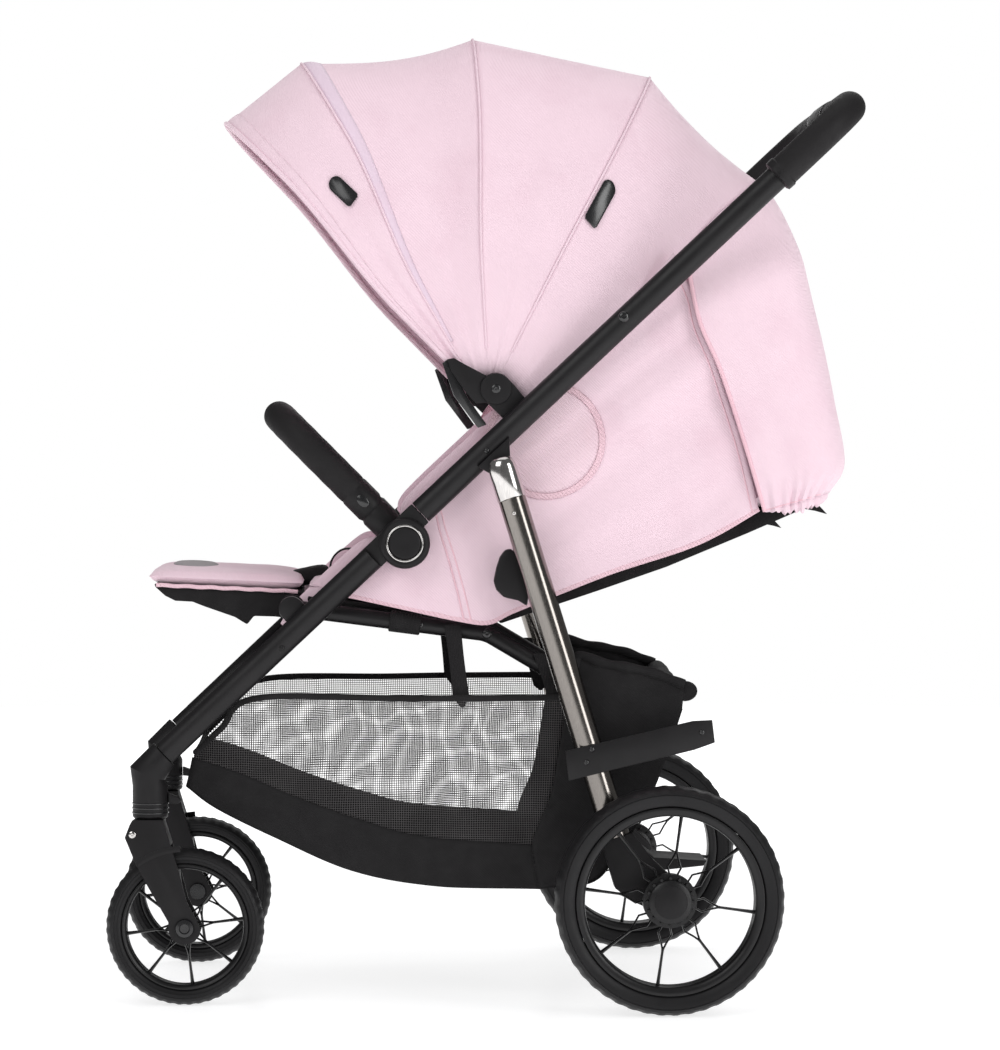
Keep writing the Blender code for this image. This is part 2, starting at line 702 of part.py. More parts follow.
def front_fork(name, side, body):
    """A crown under the swivel housing and a cheek on each side of the front wheel."""
    front = [(-0.4013, 0.2059), (-0.4069, 0.1912), (-0.3968, 0.1664), (-0.3832, 0.1394), (-0.3584, 0.0960)]
    hub = arc((FRONT_AXLE_X, FRONT_RADIUS), 0.0185, 175, 355, 8)
    rear = [(-0.3291, 0.1021), (-0.3381, 0.1191), (-0.3460, 0.1506), (-0.3550, 0.1800), (-0.3629, 0.2059)]
    seat = [(-0.3640, 0.2108), (-0.3946, 0.2108)]
    y = side * FRONT_TRACK
    half = FRONT_WIDTH / 2 + FORK_CHEEK
    made = solid(name, prism_mesh(front + hub + rear + seat, y - half, y + half), BLACK_PLASTIC, body)
    slot = FRONT_WIDTH / 2 + 0.0015
    profile = [(0, -slot), (FRONT_RADIUS + 0.005, -slot), (FRONT_RADIUS + 0.005, slot), (0, slot)]
    centre = (FRONT_AXLE_X, y, FRONT_RADIUS)
    combine(made, tool(name + "_slot", turned_mesh(profile, centre, steps=40), body), "DIFFERENCE")
    bore = [(0, -0.05), (AXLE_BOLT + GAP, -0.05), (AXLE_BOLT + GAP, 0.05), (0, 0.05)]
    combine(made, tool(name + "_bore", turned_mesh(bore, centre, steps=16), body), "DIFFERENCE")
    return made


def front_axle(name, side, body):
    """The bolt through a fork and its wheel, with a head on each side."""
    face = FRONT_WIDTH / 2 + FORK_CHEEK + GAP
    half = [(AXLE_BOLT, 0.0), (AXLE_BOLT, face), (0.0105, face), (0.0095, face + 0.0035), (0, face + 0.0040)]
    profile = [(r, -along) for r, along in reversed(half)][:-1] + half[1:]
    centre = (FRONT_AXLE_X, side * FRONT_TRACK, FRONT_RADIUS)
    return solid(name, turned_mesh(profile, centre, steps=16), BLACK_PLASTIC, body)


# ---------------------------------------------------------------- seat
def seat_bar(name, side, body):
    """The cranked side tube under the seat, from the main tube to the rear leg."""
    y = side * SEAT_BAR_Y
    start = Vector((SEAT_PIVOT.x, y, SEAT_PIVOT.z))
    points = [start, Vector((SEAT_HINGE[0], y, SEAT_HINGE[1])), Vector((LINK_PIVOT[0], y, LINK_PIVOT[1]))]
    direction = (points[1] - points[0]).normalized()
    points[0] = points[0] - direction * 0.008
    last = (points[2] - points[1]).normalized()
    points[2] = points[2] + last * 0.008
    return solid(name, tube_mesh(rounded(points, 0.04, 4), SEAT_BAR_RADIUS, count=12), BLACK_PAINT, body)


def slab(start, direction, length, low, high, nose):
    """A side outline of a board or a pad: low and high are measured square to its direction."""
    start = Vector((start[0], 0, start[1]))
    normal = Vector((-direction.z, 0, direction.x))
    middle = (low + high) / 2
    points = [(0, low), (length - nose, low), (length, middle), (length - nose, high), (0, high)]
    return [flat(start + direction * a + normal * n) for a, n in points]


def seat_base(body):
    """The padded seat on the two seat bars."""
    start = (SEAT_PIVOT.x + 0.016, SEAT_PIVOT.z - 0.0024)
    end = Vector((SEAT_HINGE[0], 0, SEAT_HINGE[1]))
    direction = (end - Vector((SEAT_PIVOT.x, 0, SEAT_PIVOT.z))).normalized()
    outline = slab(start, direction, 0.190, SEAT_BAR_RADIUS + 0.001, 0.036, 0.006)
    return solid("seat_base", prism_mesh(outline, -SEAT_HALF_WIDTH, SEAT_HALF_WIDTH), BLACK_FABRIC, body)


def backrest_parts(body):
    """The stiff board of the backrest and the pad on it."""
    direction = Vector((math.cos(RECLINE_ANGLE), 0, math.sin(RECLINE_ANGLE)))
    start = Vector((SEAT_HINGE[0], 0, SEAT_HINGE[1])) + direction * 0.018
    half = SEAT_HALF_WIDTH - 0.002
    board = slab(flat(start), direction, BACKREST_LENGTH - 0.018, 0.004, 0.014, 0.003)
    solid("backrest_frame", prism_mesh(board, -half, half), BLACK_FABRIC, body)
    pad_start = start + direction * 0.014
    pad = slab(flat(pad_start), direction, BACKREST_LENGTH - 0.045, 0.014 + GAP, 0.042, 0.010)
    solid("backrest_pad", prism_mesh(pad, -half, half), PINK, body)


def legrest_parts(body):
    """The board of the leg rest and its padded top."""
    tip = Vector((LEGREST_TIP[0], 0, LEGREST_TIP[1]))
    along = tip - SEAT_PIVOT
    length = along.length
    direction = along.normalized()
    half = SEAT_HALF_WIDTH - 0.012
    start = SEAT_PIVOT + direction * 0.004
    board = slab(flat(start), direction, length - 0.010, 0.020, -0.004, 0.006)
    solid("legrest_board", prism_mesh(board, -half, half), BLACK_FABRIC, body)
    pad = slab(flat(start), direction, length - 0.005, -0.004 - GAP, -0.018, 0.004)
    solid("legrest_pad", prism_mesh(pad, -half - 0.004, half + 0.004), PINK, body)


def bumper_bar(body):
    """A padded bow across the seat, from one fold hinge to the other."""
    end = Vector((BUMPER_END[0], 0, BUMPER_END[1]))
    out = (end - Vector((HINGE.x, 0, HINGE.z))).normalized()
    start = Vector((HINGE.x, 0, HINGE.z)) + out * 0.016
    tip = end + out * 0.004
    points = []
    for point, y in ((start, -1), (tip, -1), (tip, 1), (start, 1)):
        points.append(Vector((point.x, y * BUMPER_Y, point.z)))
    path = rounded(points, 0.075, 8)
    return solid("bumper_bar", tube_mesh(path, BUMPER_RADIUS), BLACK_FOAM, body)


# ---------------------------------------------------------------- assembly
def build_frames():
    """Makes the bodies' axes and hangs every part on its own."""
    root = pivot("lower_frame", (0, 0, 0))
    upper = pivot("frame_fold_axis", HINGE, root)
    legs = pivot("leg_fold_axis", LEG_PIVOT, upper)
    seat = pivot("seat_fold_axis", SEAT_PIVOT, root)
    backrest = pivot("recline_axis", (SEAT_HINGE[0], 0, SEAT_HINGE[1]), seat)
    legrest = pivot("legrest_axis", SEAT_PIVOT, seat)
    bumper = pivot("bumper_axis", HINGE, root)
    rear_rib = pivot("canopy_rear_axis", CANOPY_PIVOT, upper)
    middle_rib = pivot("canopy_middle_axis", CANOPY_PIVOT, rear_rib)
    front_rib = pivot("canopy_front_axis", CANOPY_PIVOT, middle_rib)
    visor = pivot("visor_axis", CANOPY_PIVOT, front_rib)
    pedal = pivot("brake_axis", (CROSS_TUBE[0], 0, CROSS_TUBE[1]), legs)
    button = pivot("fold_button_axis", on_tube(CROSSBAR_ALONG), upper)

    front_cross_tube(root)
    basket(root)
    fold_housing(upper)
    back_flap(upper)
    fold_button(button)
    rear_axle(legs)
    brake_pedal(pedal)
    seat_base(seat)
    backrest_parts(backrest)
    legrest_parts(legrest)
    bumper_bar(bumper)

    visor_rib_hoop = (VISOR_ANGLE, VISOR_REACH)
    canopy_rib("canopy_rib_rear", RIB_REAR, 0.1800, rear_rib)
    canopy_rib("canopy_rib_middle", RIB_MIDDLE, 0.1735, middle_rib)
    canopy_rib("canopy_rib_front", RIB_FRONT, 0.1670, front_rib)
    canopy_rib("canopy_rib_visor", visor_rib_hoop, 0.1605, visor)
    canopy_panel("canopy_rear", CANOPY_REAR, beside(RIB_REAR, -1), upper)
    canopy_panel("canopy_middle", beside(RIB_REAR, 1), beside(RIB_MIDDLE, -1), rear_rib)
    canopy_panel("canopy_front", beside(RIB_MIDDLE, 1), beside(RIB_FRONT, -1), middle_rib)
    canopy_panel("canopy_visor", beside(RIB_FRONT, 1), beside(visor_rib_hoop, -1), visor)

    for label, side in SIDES:
        build_side(label, side, root, upper, legs, seat)


def build_side(label, side, root, upper, legs, seat):
    """Everything that there is one of on each side."""
    lower_tube("lower_tube_" + label, side, root)
    fork_head("fork_head_" + label, side, root)
    lock = pivot("swivel_lock_axis_" + label, (-0.352, side * FRONT_TRACK, 0.233), root)
    swivel_lock("swivel_lock_" + label, side, lock)

    upper_tube("upper_tube_" + label, side, upper)
    fold_hinge("fold_hinge_" + label, side, upper)
    hinge_cap("hinge_cap_" + label, side, upper)
    handle_grip("handle_grip_" + label, side, upper)
    canopy_bracket("canopy_bracket_" + label, side, upper)
    side_panel("side_panel_" + label, side, upper)

    seat_bar("seat_bar_" + label, side, seat)
    rear_leg("rear_leg_" + label, side, legs)
    axle_housing("axle_housing_" + label, side, legs)
    parking_foot("parking_foot_" + label, side, legs)
    rear_centre = (REAR_AXLE_X, side * REAR_TRACK, REAR_RADIUS)
    wheel = pivot("rear_wheel_axis_" + label, rear_centre, legs)
    tyre("rear_tyre_" + label, rear_centre, REAR_RADIUS, REAR_WIDTH, REAR_BEAD, wheel)
    radii = {"outer": REAR_BEAD - GAP, "inner": 0.094, "hub": 0.030, "bore": 0.0063}
    rim("rear_rim_" + label, rear_centre, radii, 0.030, 0.038, REAR_FIRST_SPOKE, wheel)

    swivel = pivot("caster_axis_" + label, (SWIVEL_X, side * FRONT_TRACK, 0.2108), root)
    front_fork("front_fork_" + label, side, swivel)
    front_axle("front_axle_" + label, side, swivel)
    front_centre = (FRONT_AXLE_X, side * FRONT_TRACK, FRONT_RADIUS)
    caster = pivot("front_wheel_axis_" + label, front_centre, swivel)
    tyre("front_tyre_" + label, front_centre, FRONT_RADIUS, FRONT_WIDTH, FRONT_BEAD, caster)
    radii = {"outer": FRONT_BEAD - GAP, "inner": 0.065, "hub": 0.0125, "bore": AXLE_BOLT + GAP}
    rim("front_rim_" + label, front_centre, radii, 0.022, 0.031, FRONT_FIRST_SPOKE, caster)


clear_scene()
build_frames()
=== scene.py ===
"""Looks of the baby stroller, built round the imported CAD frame.

Everything is in metres in the row frame: the front is -X, the left side is -Y and +Z is up.
"""

import math

import bmesh
import bpy
from mathutils import Matrix, Vector, noise


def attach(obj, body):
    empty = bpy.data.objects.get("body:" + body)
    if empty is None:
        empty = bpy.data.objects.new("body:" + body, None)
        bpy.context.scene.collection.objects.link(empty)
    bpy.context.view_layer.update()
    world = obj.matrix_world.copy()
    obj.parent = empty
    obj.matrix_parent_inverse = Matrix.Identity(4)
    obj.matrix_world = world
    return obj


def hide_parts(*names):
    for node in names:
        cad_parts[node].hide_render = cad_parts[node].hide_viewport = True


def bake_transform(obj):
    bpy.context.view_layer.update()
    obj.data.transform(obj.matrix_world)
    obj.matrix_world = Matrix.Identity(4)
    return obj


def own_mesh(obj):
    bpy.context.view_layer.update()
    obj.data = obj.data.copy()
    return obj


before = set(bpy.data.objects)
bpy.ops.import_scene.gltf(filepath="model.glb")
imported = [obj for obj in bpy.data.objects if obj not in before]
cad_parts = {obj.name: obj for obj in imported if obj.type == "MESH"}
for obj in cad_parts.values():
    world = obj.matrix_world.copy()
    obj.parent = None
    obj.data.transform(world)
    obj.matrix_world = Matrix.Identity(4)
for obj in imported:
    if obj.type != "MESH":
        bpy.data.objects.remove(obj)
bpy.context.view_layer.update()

# ---------------------------------------------------------------- places the CAD part also uses
TUBE_FOOT = (-0.3714, 0.2767)
TUBE_ANGLE = math.radians(43.3)
TUBE_LENGTH = 0.955
TUBE_HALF_WIDTH = 0.011
TUBE_HALF_HEIGHT = 0.014
TUBE_DIRECTION = Vector((math.cos(TUBE_ANGLE), 0, math.sin(TUBE_ANGLE)))
TUBE_DOWN = Vector((math.sin(TUBE_ANGLE), 0, -math.cos(TUBE_ANGLE)))
FOOT_HALF_TRACK = 0.178
HANDLE_HALF_TRACK = 0.235
CROSSBAR_ALONG = 1.0725
SIDES = (("left", -1), ("right", 1))


def tube_y(along):
    """The main tubes spread towards the handle."""
    return FOOT_HALF_TRACK + (HANDLE_HALF_TRACK - FOOT_HALF_TRACK) * along / TUBE_LENGTH


def on_tube(along, drop=0.0, side=0):
    """A point at a distance along a main tube and below its axis; side 0 is the middle plane."""
    point = Vector((TUBE_FOOT[0], 0, TUBE_FOOT[1])) + TUBE_DIRECTION * along + TUBE_DOWN * drop
    point.y = side * tube_y(along)
    return point


HINGE_ALONG = 0.370
HINGE_DROP = 0.0127
CANOPY_ALONG = 0.5629
HINGE = on_tube(HINGE_ALONG, HINGE_DROP)
SEAT_PIVOT = on_tube(0.2267, -0.0203)
LEG_PIVOT = on_tube(0.506, 0.027)
CANOPY_PIVOT = on_tube(CANOPY_ALONG, -0.0428)
SEAT_HINGE = Vector((0.0, 0, 0.4181))
LINK_PIVOT = Vector((0.080, 0, 0.3707))
REAR_AXLE = Vector((0.1983, 0, 0.1275))
REAR_TRACK = 0.270
SWIVEL_X = -0.3793
FRONT_AXLE = Vector((-0.3402, 0, 0.089))
FRONT_TRACK = 0.170
LEG_Y = 0.230
LEG_FOOT = Vector((0.1418, 0, 0.195))
CROSS_TUBE = Vector((0.165, 0, 0.150))
BUMPER_END = Vector((-0.2327, 0, 0.661))
BUMPER_HALF_WIDTH = 0.166
SEAT_BAR_Y = 0.160


# ---------------------------------------------------------------- camera, floor and light
def aim(item, target):
    """Turns an object so that its -Z looks at a point."""
    direction = Vector(target) - item.location
    item.rotation_euler = direction.to_track_quat("-Z", "Y").to_euler()


def add_camera():
    """A long lens, level with the seat and square to the left side."""
    data = bpy.data.cameras.new("camera")
    data.lens = 124.7
    data.sensor_width = 36.0
    camera = bpy.data.objects.new("camera", data)
    camera.location = (-0.1487, -4.27, 0.631)
    bpy.context.scene.collection.objects.link(camera)
    aim(camera, camera.location + Vector((0.0398, 0.999, -0.0220)))
    bpy.context.scene.camera = camera


def add_area(name, place, target, size, power):
    """A soft rectangular lamp."""
    data = bpy.data.lights.new(name, "AREA")
    data.shape = "RECTANGLE"
    data.size = size[0]
    data.size_y = size[1]
    data.energy = power
    lamp = bpy.data.objects.new(name, data)
    lamp.location = place
    bpy.context.scene.collection.objects.link(lamp)
    aim(lamp, target)


def white(node, strength):
    """Makes a background node white and gives its output."""
    node.inputs["Color"].default_value = (1.0, 1.0, 1.0, 1.0)
    node.inputs["Strength"].default_value = strength
    return node.outputs[0]


def either(tree, kind_of_ray, no, yes):
    """One of two shaders, by the kind of ray that looks."""
    node = tree.nodes.new("ShaderNodeMixShader")
    for slot, value in zip(node.inputs, (kind_of_ray, no, yes)):
        tree.links.new(value, slot)
    return node.outputs[0]


def add_studio():
    """A pale floor, a white surround and soft lamps."""
    world = bpy.data.worlds.new("surround")
    world.use_nodes = True
    tree = world.node_tree
    lighting = white(tree.nodes["Background"], 0.52)
    seen = white(tree.nodes.new("ShaderNodeBackground"), 1.0)
    mirrored = white(tree.nodes.new("ShaderNodeBackground"), 0.14)
    rays = tree.nodes.new("ShaderNodeLightPath").outputs
    unseen = either(tree, rays["Is Glossy Ray"], lighting, mirrored)
    both = either(tree, rays["Is Camera Ray"], unseen, seen)
    tree.links.new(both, tree.nodes["World Output"].inputs["Surface"])
    bpy.context.scene.world = world

    bpy.ops.mesh.primitive_circle_add(vertices=64, radius=4.6, fill_type="NGON")
    floor = bpy.context.object
    floor.name = "floor"
    look = Nodes("floor")
    look.set(Base_Color=(0.72, 0.72, 0.73, 1), Roughness=0.20, Specular_IOR_Level=0.35)
    look.set(Emission_Color=(1, 1, 1, 1))
    away = look.node("VectorMath")
    away.operation = "LENGTH"
    look.tree.links.new(look.place, away.inputs[0])
    glow = look.node("MapRange", From_Min=0.8, From_Max=2.2, To_Min=0.70, To_Max=1.05)
    look.tree.links.new(away.outputs["Value"], glow.inputs["Value"])
    look.tree.links.new(glow.outputs["Result"], look.shader.inputs["Emission Strength"])
    floor.data.materials.append(look.material)

    add_area("key", (-2.0, -3.2, 2.8), (0, 0, 0.6), (2.4, 2.4), 43)
    add_area("fill", (2.7, -2.7, 1.5), (0, 0, 0.5), (1.2, 2.4), 44)
    add_area("top", (0.1, 0.2, 3.4), (0, 0, 0.5), (2.6, 2.6), 20)
    add_area("back", (0.6, 3.2, 2.2), (0, 0, 0.6), (2.4, 2.0), 20)
    bpy.context.scene.view_settings.view_transform = "Standard"


# ---------------------------------------------------------------- materials
class Nodes:
    """Makes a material's nodes and links them with short calls."""

    def __init__(self, name):
        self.material = bpy.data.materials.new(name)
        self.material.use_nodes = True
        self.tree = self.material.node_tree
        self.shader = self.tree.nodes["Principled BSDF"]
        self.place = self.tree.nodes.new("ShaderNodeTexCoord").outputs["Object"]

    def set(self, **values):
        """Constants straight on the shader's sockets; an underscore stands for a space."""
        for name, value in values.items():
            self.shader.inputs[name.replace("_", " ")].default_value = value

    def node(self, kind, **values):
        """A new node with values on its sockets; an underscore stands for a space."""
        made = self.tree.nodes.new("ShaderNode" + kind)
        for name, value in values.items():
            made.inputs[name.replace("_", " ")].default_value = value
        return made

    def turned(self, angles, scale=(1, 1, 1)):
        """The place, turned and scaled."""
        node = self.node("Mapping", Rotation=angles, Scale=scale)
        self.tree.links.new(self.place, node.inputs["Vector"])
        return node.outputs["Vector"]

    def noise(self, scale, detail=3.0, roughness=0.5, vector=None):
        """A cloudy pattern from 0 to 1."""
        node = self.node("TexNoise", Scale=scale, Detail=detail, Roughness=roughness)
        self.tree.links.new(vector or self.place, node.inputs["Vector"])
        return node.outputs["Fac"]

    def wave(self, pitch, vector=None, direction="X", distortion=0.0):
        """Parallel ridges of a pitch in metres."""
        scale = 2 * math.pi / pitch / 20
        node = self.node("TexWave", Scale=scale, Distortion=distortion, Detail=0.0, Detail_Scale=0.20)
        node.bands_direction = direction
        self.tree.links.new(vector or self.place, node.inputs["Vector"])
        return node.outputs["Fac"]

    def math(self, operation, one, two):
        """One sum on two values or sockets."""
        node = self.node("Math")
        node.operation = operation
        for slot, value in zip(node.inputs, (one, two)):
            if isinstance(value, (int, float)):
                slot.default_value = value
            else:
                self.tree.links.new(value, slot)
        return node.outputs[0]

    def ramp(self, factor, stops):
        """Colours at positions from 0 to 1."""
        node = self.node("ValToRGB")
        node.color_ramp.elements[0].position = stops[0][0]
        node.color_ramp.elements[0].color = (*stops[0][1], 1)
        node.color_ramp.elements[1].position = stops[-1][0]
        node.color_ramp.elements[1].color = (*stops[-1][1], 1)
        for position, colour in stops[1:-1]:
            node.color_ramp.elements.new(position).color = (*colour, 1)
        self.tree.links.new(factor, node.inputs["Fac"])
        return node.outputs["Color"]

    def spread(self, factor, low, high):
        """Stretches a 0 to 1 pattern to a range."""
        node = self.node("MapRange", From_Min=0.3, From_Max=0.7, To_Min=low, To_Max=high)
        self.tree.links.new(factor, node.inputs["Value"])
        return node.outputs["Result"]

    def colour(self, socket):
        self.tree.links.new(socket, self.shader.inputs["Base Color"])

    def rough(self, socket):
        self.tree.links.new(socket, self.shader.inputs["Roughness"])

    def bump(self, height, distance, strength=1.0, below=None):
        """Adds relief, on top of an earlier bump where one is given."""
        node = self.node("Bump", Distance=distance, Strength=strength)
        self.tree.links.new(height, node.inputs["Height"])
        if below:
            self.tree.links.new(below, node.inputs["Normal"])
        self.tree.links.new(node.outputs["Normal"], self.shader.inputs["Normal"])
        return node.outputs["Normal"]


def tint(colour, share):
    """A colour made lighter or darker by a share."""
    return tuple(min(1.0, c * share) for c in colour)


def cloth(name, colour, painted_shade_colour, pitch=0.0022, relief=0.00022, sheen=0.25, lean=0.8):
    """Woven cloth: diagonal ribs crossed by a finer thread, with cloudy patches of painted shade and of a
    slightly lighter painted highlight.
    """
    made = Nodes(name)
    cloudy = made.noise(9.0, 4.0, 0.6)
    # the ramp mixes in the shade colour and a copy 4 % lighter: painted shade and painted highlight in random
    # cloudy patches
    made.colour(made.ramp(cloudy, [(0.25, painted_shade_colour), (0.5, colour), (0.8, tint(colour, 1.04))]))
    ribs = made.wave(pitch, made.turned((0.0, lean, 0.35)))
    threads = made.wave(pitch * 0.62, made.turned((0.4, lean + math.pi / 2, 0.0)))
    weave = made.math("MULTIPLY", ribs, threads)
    rough = made.noise(60.0, 3.0)
    made.rough(made.spread(rough, 0.74, 0.92))
    below = made.bump(made.noise(26.0, 3.0), 0.0012, 0.35)
    made.bump(weave, relief, 1.0, below)
    made.set(Specular_IOR_Level=0.22, Sheen_Weight=sheen, Sheen_Roughness=0.45)
    return made.material


def moulded(name, colour, rough=(0.42, 0.56), relief=0.00008, grain=900.0, specular=0.22, coat=0.0):
    """Satin plastic or paint: fine grain, scuffed gloss and a slightly uneven black."""
    made = Nodes(name)
    made.colour(made.ramp(made.noise(14.0, 4.0), [(0.3, tint(colour, 0.85)), (0.7, tint(colour, 1.2))]))
    made.rough(made.spread(made.noise(45.0, 5.0, 0.65), *rough))
    below = made.bump(made.noise(120.0, 2.0), relief * 2, 0.3)
    made.bump(made.noise(grain, 2.0), relief, 0.6, below)
    made.set(Specular_IOR_Level=specular, Metallic=0.0, Coat_Weight=coat, Coat_Roughness=0.25)
    return made.material


def brushed(name, colour, rough):
    """Polished metal with faint draw marks along it."""
    made = Nodes(name)
    marks = made.noise(55.0, 4.0, 0.6, made.turned((0.0, 0.30, 0.0), (30.0, 30.0, 0.6)))
    made.colour(made.ramp(marks, [(0.3, tint(colour, 0.86)), (0.7, tint(colour, 1.12))]))
    made.rough(made.spread(marks, *rough))
    made.bump(marks, 0.00002, 0.5)
    made.set(Metallic=1.0)
    return made.material


def netting(name, thread, pitch, open_share):
    """Knitted net: threads both ways with holes between them."""
    made = Nodes(name)
    up = made.wave(pitch, None, "Z", 4.0)
    along = made.wave(pitch, None, "X", 4.0)
    across = made.wave(pitch, None, "Y")
    most = made.math("MAXIMUM", up, along)
    solid = made.math("GREATER_THAN", most, open_share)
    made.tree.links.new(solid, made.shader.inputs["Alpha"])
    made.colour(made.ramp(made.noise(20.0), [(0.3, tint(thread, 0.8)), (0.7, tint(thread, 1.25))]))
    made.rough(made.spread(made.noise(50.0), 0.6, 0.85))
    made.bump(made.math("ADD", up, made.math("ADD", along, across)), 0.0002)
    made.set(Specular_IOR_Level=0.2)
    return made.material


# the deeper pink is the same cloth in shade, mixed into the cloth as painted shade
PINK_LIGHT = (0.795, 0.605, 0.680)
PINK_PAINTED_SHADE = (0.745, 0.545, 0.622)
BLACK = (0.0125, 0.0118, 0.0125)
# the deeper black is the black cloth in shade, mixed in as painted shade
BLACK_PAINTED_SHADE = (0.0085, 0.0080, 0.0085)
LOOKS = {
    "pink": cloth("pink_cloth", PINK_LIGHT, PINK_PAINTED_SHADE),
    "pink_piping": cloth("pink_piping", (0.80, 0.52, 0.59), (0.76, 0.48, 0.55), 0.0016, 0.00015),
    # lilac here is a painted highlight tint; its pinker second colour is painted shade
    "lilac": cloth("sleeve_painted_highlight", (0.71, 0.565, 0.665), (0.74, 0.55, 0.64), 0.0018, 0.00012),
    "pink_mesh": cloth("pink_air_mesh", (0.80, 0.55, 0.62), (0.74, 0.48, 0.55), 0.0032, 0.0007),
    "black_cloth": cloth("black_cloth", BLACK, BLACK_PAINTED_SHADE, 0.0020, 0.00025, 0.03),
    "webbing": cloth("black_webbing", (0.014, 0.013, 0.014), (0.008, 0.008, 0.008), 0.0030, 0.0005,
                     0.05, 0.0),
    "grey_patch": cloth("grey_patch", (0.32, 0.30, 0.31), (0.26, 0.25, 0.26), 0.0024, 0.0004, 0.15),
    "paint": moulded("black_paint", (0.0085, 0.0078, 0.0086), (0.34, 0.46), 0.00004, 700.0, 0.30),
    "plastic": moulded("black_plastic", (0.0105, 0.0098, 0.0106)),
    "gloss": moulded("gloss_black", (0.010, 0.010, 0.011), (0.16, 0.28), 0.00002, 500.0, 0.5, 0.3),
    "foam": moulded("grip_foam", (0.0110, 0.0100, 0.0108), (0.55, 0.72), 0.00025, 1400.0, 0.24),
    "tyre": moulded("tyre_rubber", (0.0100, 0.0096, 0.0104), (0.40, 0.54), 0.00012, 600.0, 0.26),
    "rim": moulded("rim_black", (0.0085, 0.0082, 0.0088), (0.28, 0.40), 0.00004, 700.0, 0.34),
    "leg": brushed("leg_gunmetal", (0.240, 0.222, 0.206), (0.14, 0.20)),
    "chrome": brushed("bright_steel", (0.62, 0.60, 0.585), (0.10, 0.18)),
    "net": netting("basket_net", (0.060, 0.057, 0.058), 0.0026, 0.84),
    "lining": cloth("pink_lining", (0.80, 0.60, 0.67), (0.76, 0.54, 0.61), 0.0030, 0.0005),
}


# ---------------------------------------------------------------- mesh helpers
def piece(name, bm, look, body=None, smooth=35.0, replaces=()):
    """Makes a bmesh in row coordinates a piece of the model; with a body it rides on that body."""
    bmesh.ops.recalc_face_normals(bm, faces=bm.faces)
    mesh = bpy.data.meshes.new(name)
    bm.to_mesh(mesh)
    bm.free()
    mesh.shade_smooth()
    mesh.set_sharp_from_angle(angle=math.radians(smooth))
    mesh.materials.append(LOOKS[look])
    made = bpy.data.objects.new(name, mesh)
    bpy.context.scene.collection.objects.link(made)
    if replaces:
        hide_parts(*replaces)
    if body:
        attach(made, body)
    return made


def add_loft(bm, rings):
    """Joins rings of points in a row, with a face over each end."""
    rows = [[bm.verts.new(point) for point in one] for one in rings]
    count = len(rows[0])
    for low, high in zip(rows, rows[1:]):
        for i in range(count):
            j = (i + 1) % count
            bm.faces.new((low[i], low[j], high[j], high[i]))
    bm.faces.new(reversed(rows[0]))
    bm.faces.new(rows[-1])
    return bm


def oval(centre, side, up, half_width, half_height, count):
    """An ellipse of points in the plane of two unit vectors."""
    points = []
    for k in range(count):
        turn = 2 * math.pi * k / count
        points.append(centre + side * (half_width * math.cos(turn)) + up * (half_height * math.sin(turn)))
    return points


def add_tube(bm, path, half_width, half_height=None, side=(0, 1, 0), count=24, swell=None):
    """A tube along a path; swell(k) scales its size at point k."""
    half_height = half_height or half_width
    side = Vector(side)
    rings = []
    for k, point in enumerate(path):
        along = (path[min(k + 1, len(path) - 1)] - path[max(k - 1, 0)]).normalized()
        side = (side - along * side.dot(along)).normalized()
        size = swell(k) if swell else 1.0
        rings.append(oval(point, side, along.cross(side), half_width * size, half_height * size, count))
    return add_loft(bm, rings)


def rounded(points, radius, steps=8):
    """A path through points whose inner corners are arcs of about the given radius."""
    points = [Vector(p) for p in points]
    path = [points[0]]
    for before, corner, after in zip(points, points[1:], points[2:]):
        back = (before - corner).normalized()
        on = (after - corner).normalized()
        reach = radius / math.tan(back.angle(on) / 2)
        for k in range(steps + 1):
            t = k / steps
            start = corner + back * reach
            end = corner + on * reach
            path.append(start * (1 - t) ** 2 + corner * (2 * t * (1 - t)) + end * t ** 2)
    path.append(points[-1])
    return path


def curve_through(points, count):
    """A smooth Catmull-Rom run of count + 1 points through tuples or vectors."""
    points = [Vector(p) for p in points]
    lengths = [0.0]
    for one, two in zip(points, points[1:]):
        lengths.append(lengths[-1] + (two - one).length)
    ghosts = [points[0] * 2 - points[1]] + points + [points[-1] * 2 - points[-2]]
    run = []
    for k in range(count + 1):
        want = lengths[-1] * k / count
        i = max(j for j in range(len(points) - 1) if lengths[j] <= want + 1e-9)
        t = (want - lengths[i]) / max(lengths[i + 1] - lengths[i], 1e-9)
        a, b, c, d = ghosts[i:i + 4]
        cubic = b * 2 + (c - a) * t + (a * 2 - b * 5 + c * 4 - d) * t * t + (b * 3 - a - c * 3 + d) * t ** 3
        run.append(cubic * 0.5)
    return run


def bevelled(bm, width, segments=2, angle=28.0):
    """Rounds every edge sharper than an angle."""
    bmesh.ops.recalc_face_normals(bm, faces=bm.faces)
    edges = [e for e in bm.edges if len(e.link_faces) == 2 and e.calc_face_angle(0) > math.radians(angle)]
    bmesh.ops.bevel(bm, geom=edges, offset=width, segments=segments, affect="EDGES", profile=0.6,
                    clamp_overlap=True)
    return bm


def add_prism(bm, outline, y_low, y_high):
    """A plate with an outline of (x, z) points."""
    return add_loft(bm, [[Vector((x, y, z)) for x, z in outline] for y in (y_low, y_high)])


def plate(outline, y_low, y_high, bevel=0.0012):
    """A plate with rounded edges as a bmesh of its own."""
    return bevelled(add_prism(bmesh.new(), outline, y_low, y_high), bevel)


def merge(bm, other):
    """Adds one bmesh to another."""
    mesh = bpy.data.meshes.new("part")
    other.to_mesh(mesh)
    other.free()
    bm.from_mesh(mesh)
    bpy.data.meshes.remove(mesh)
    return bm


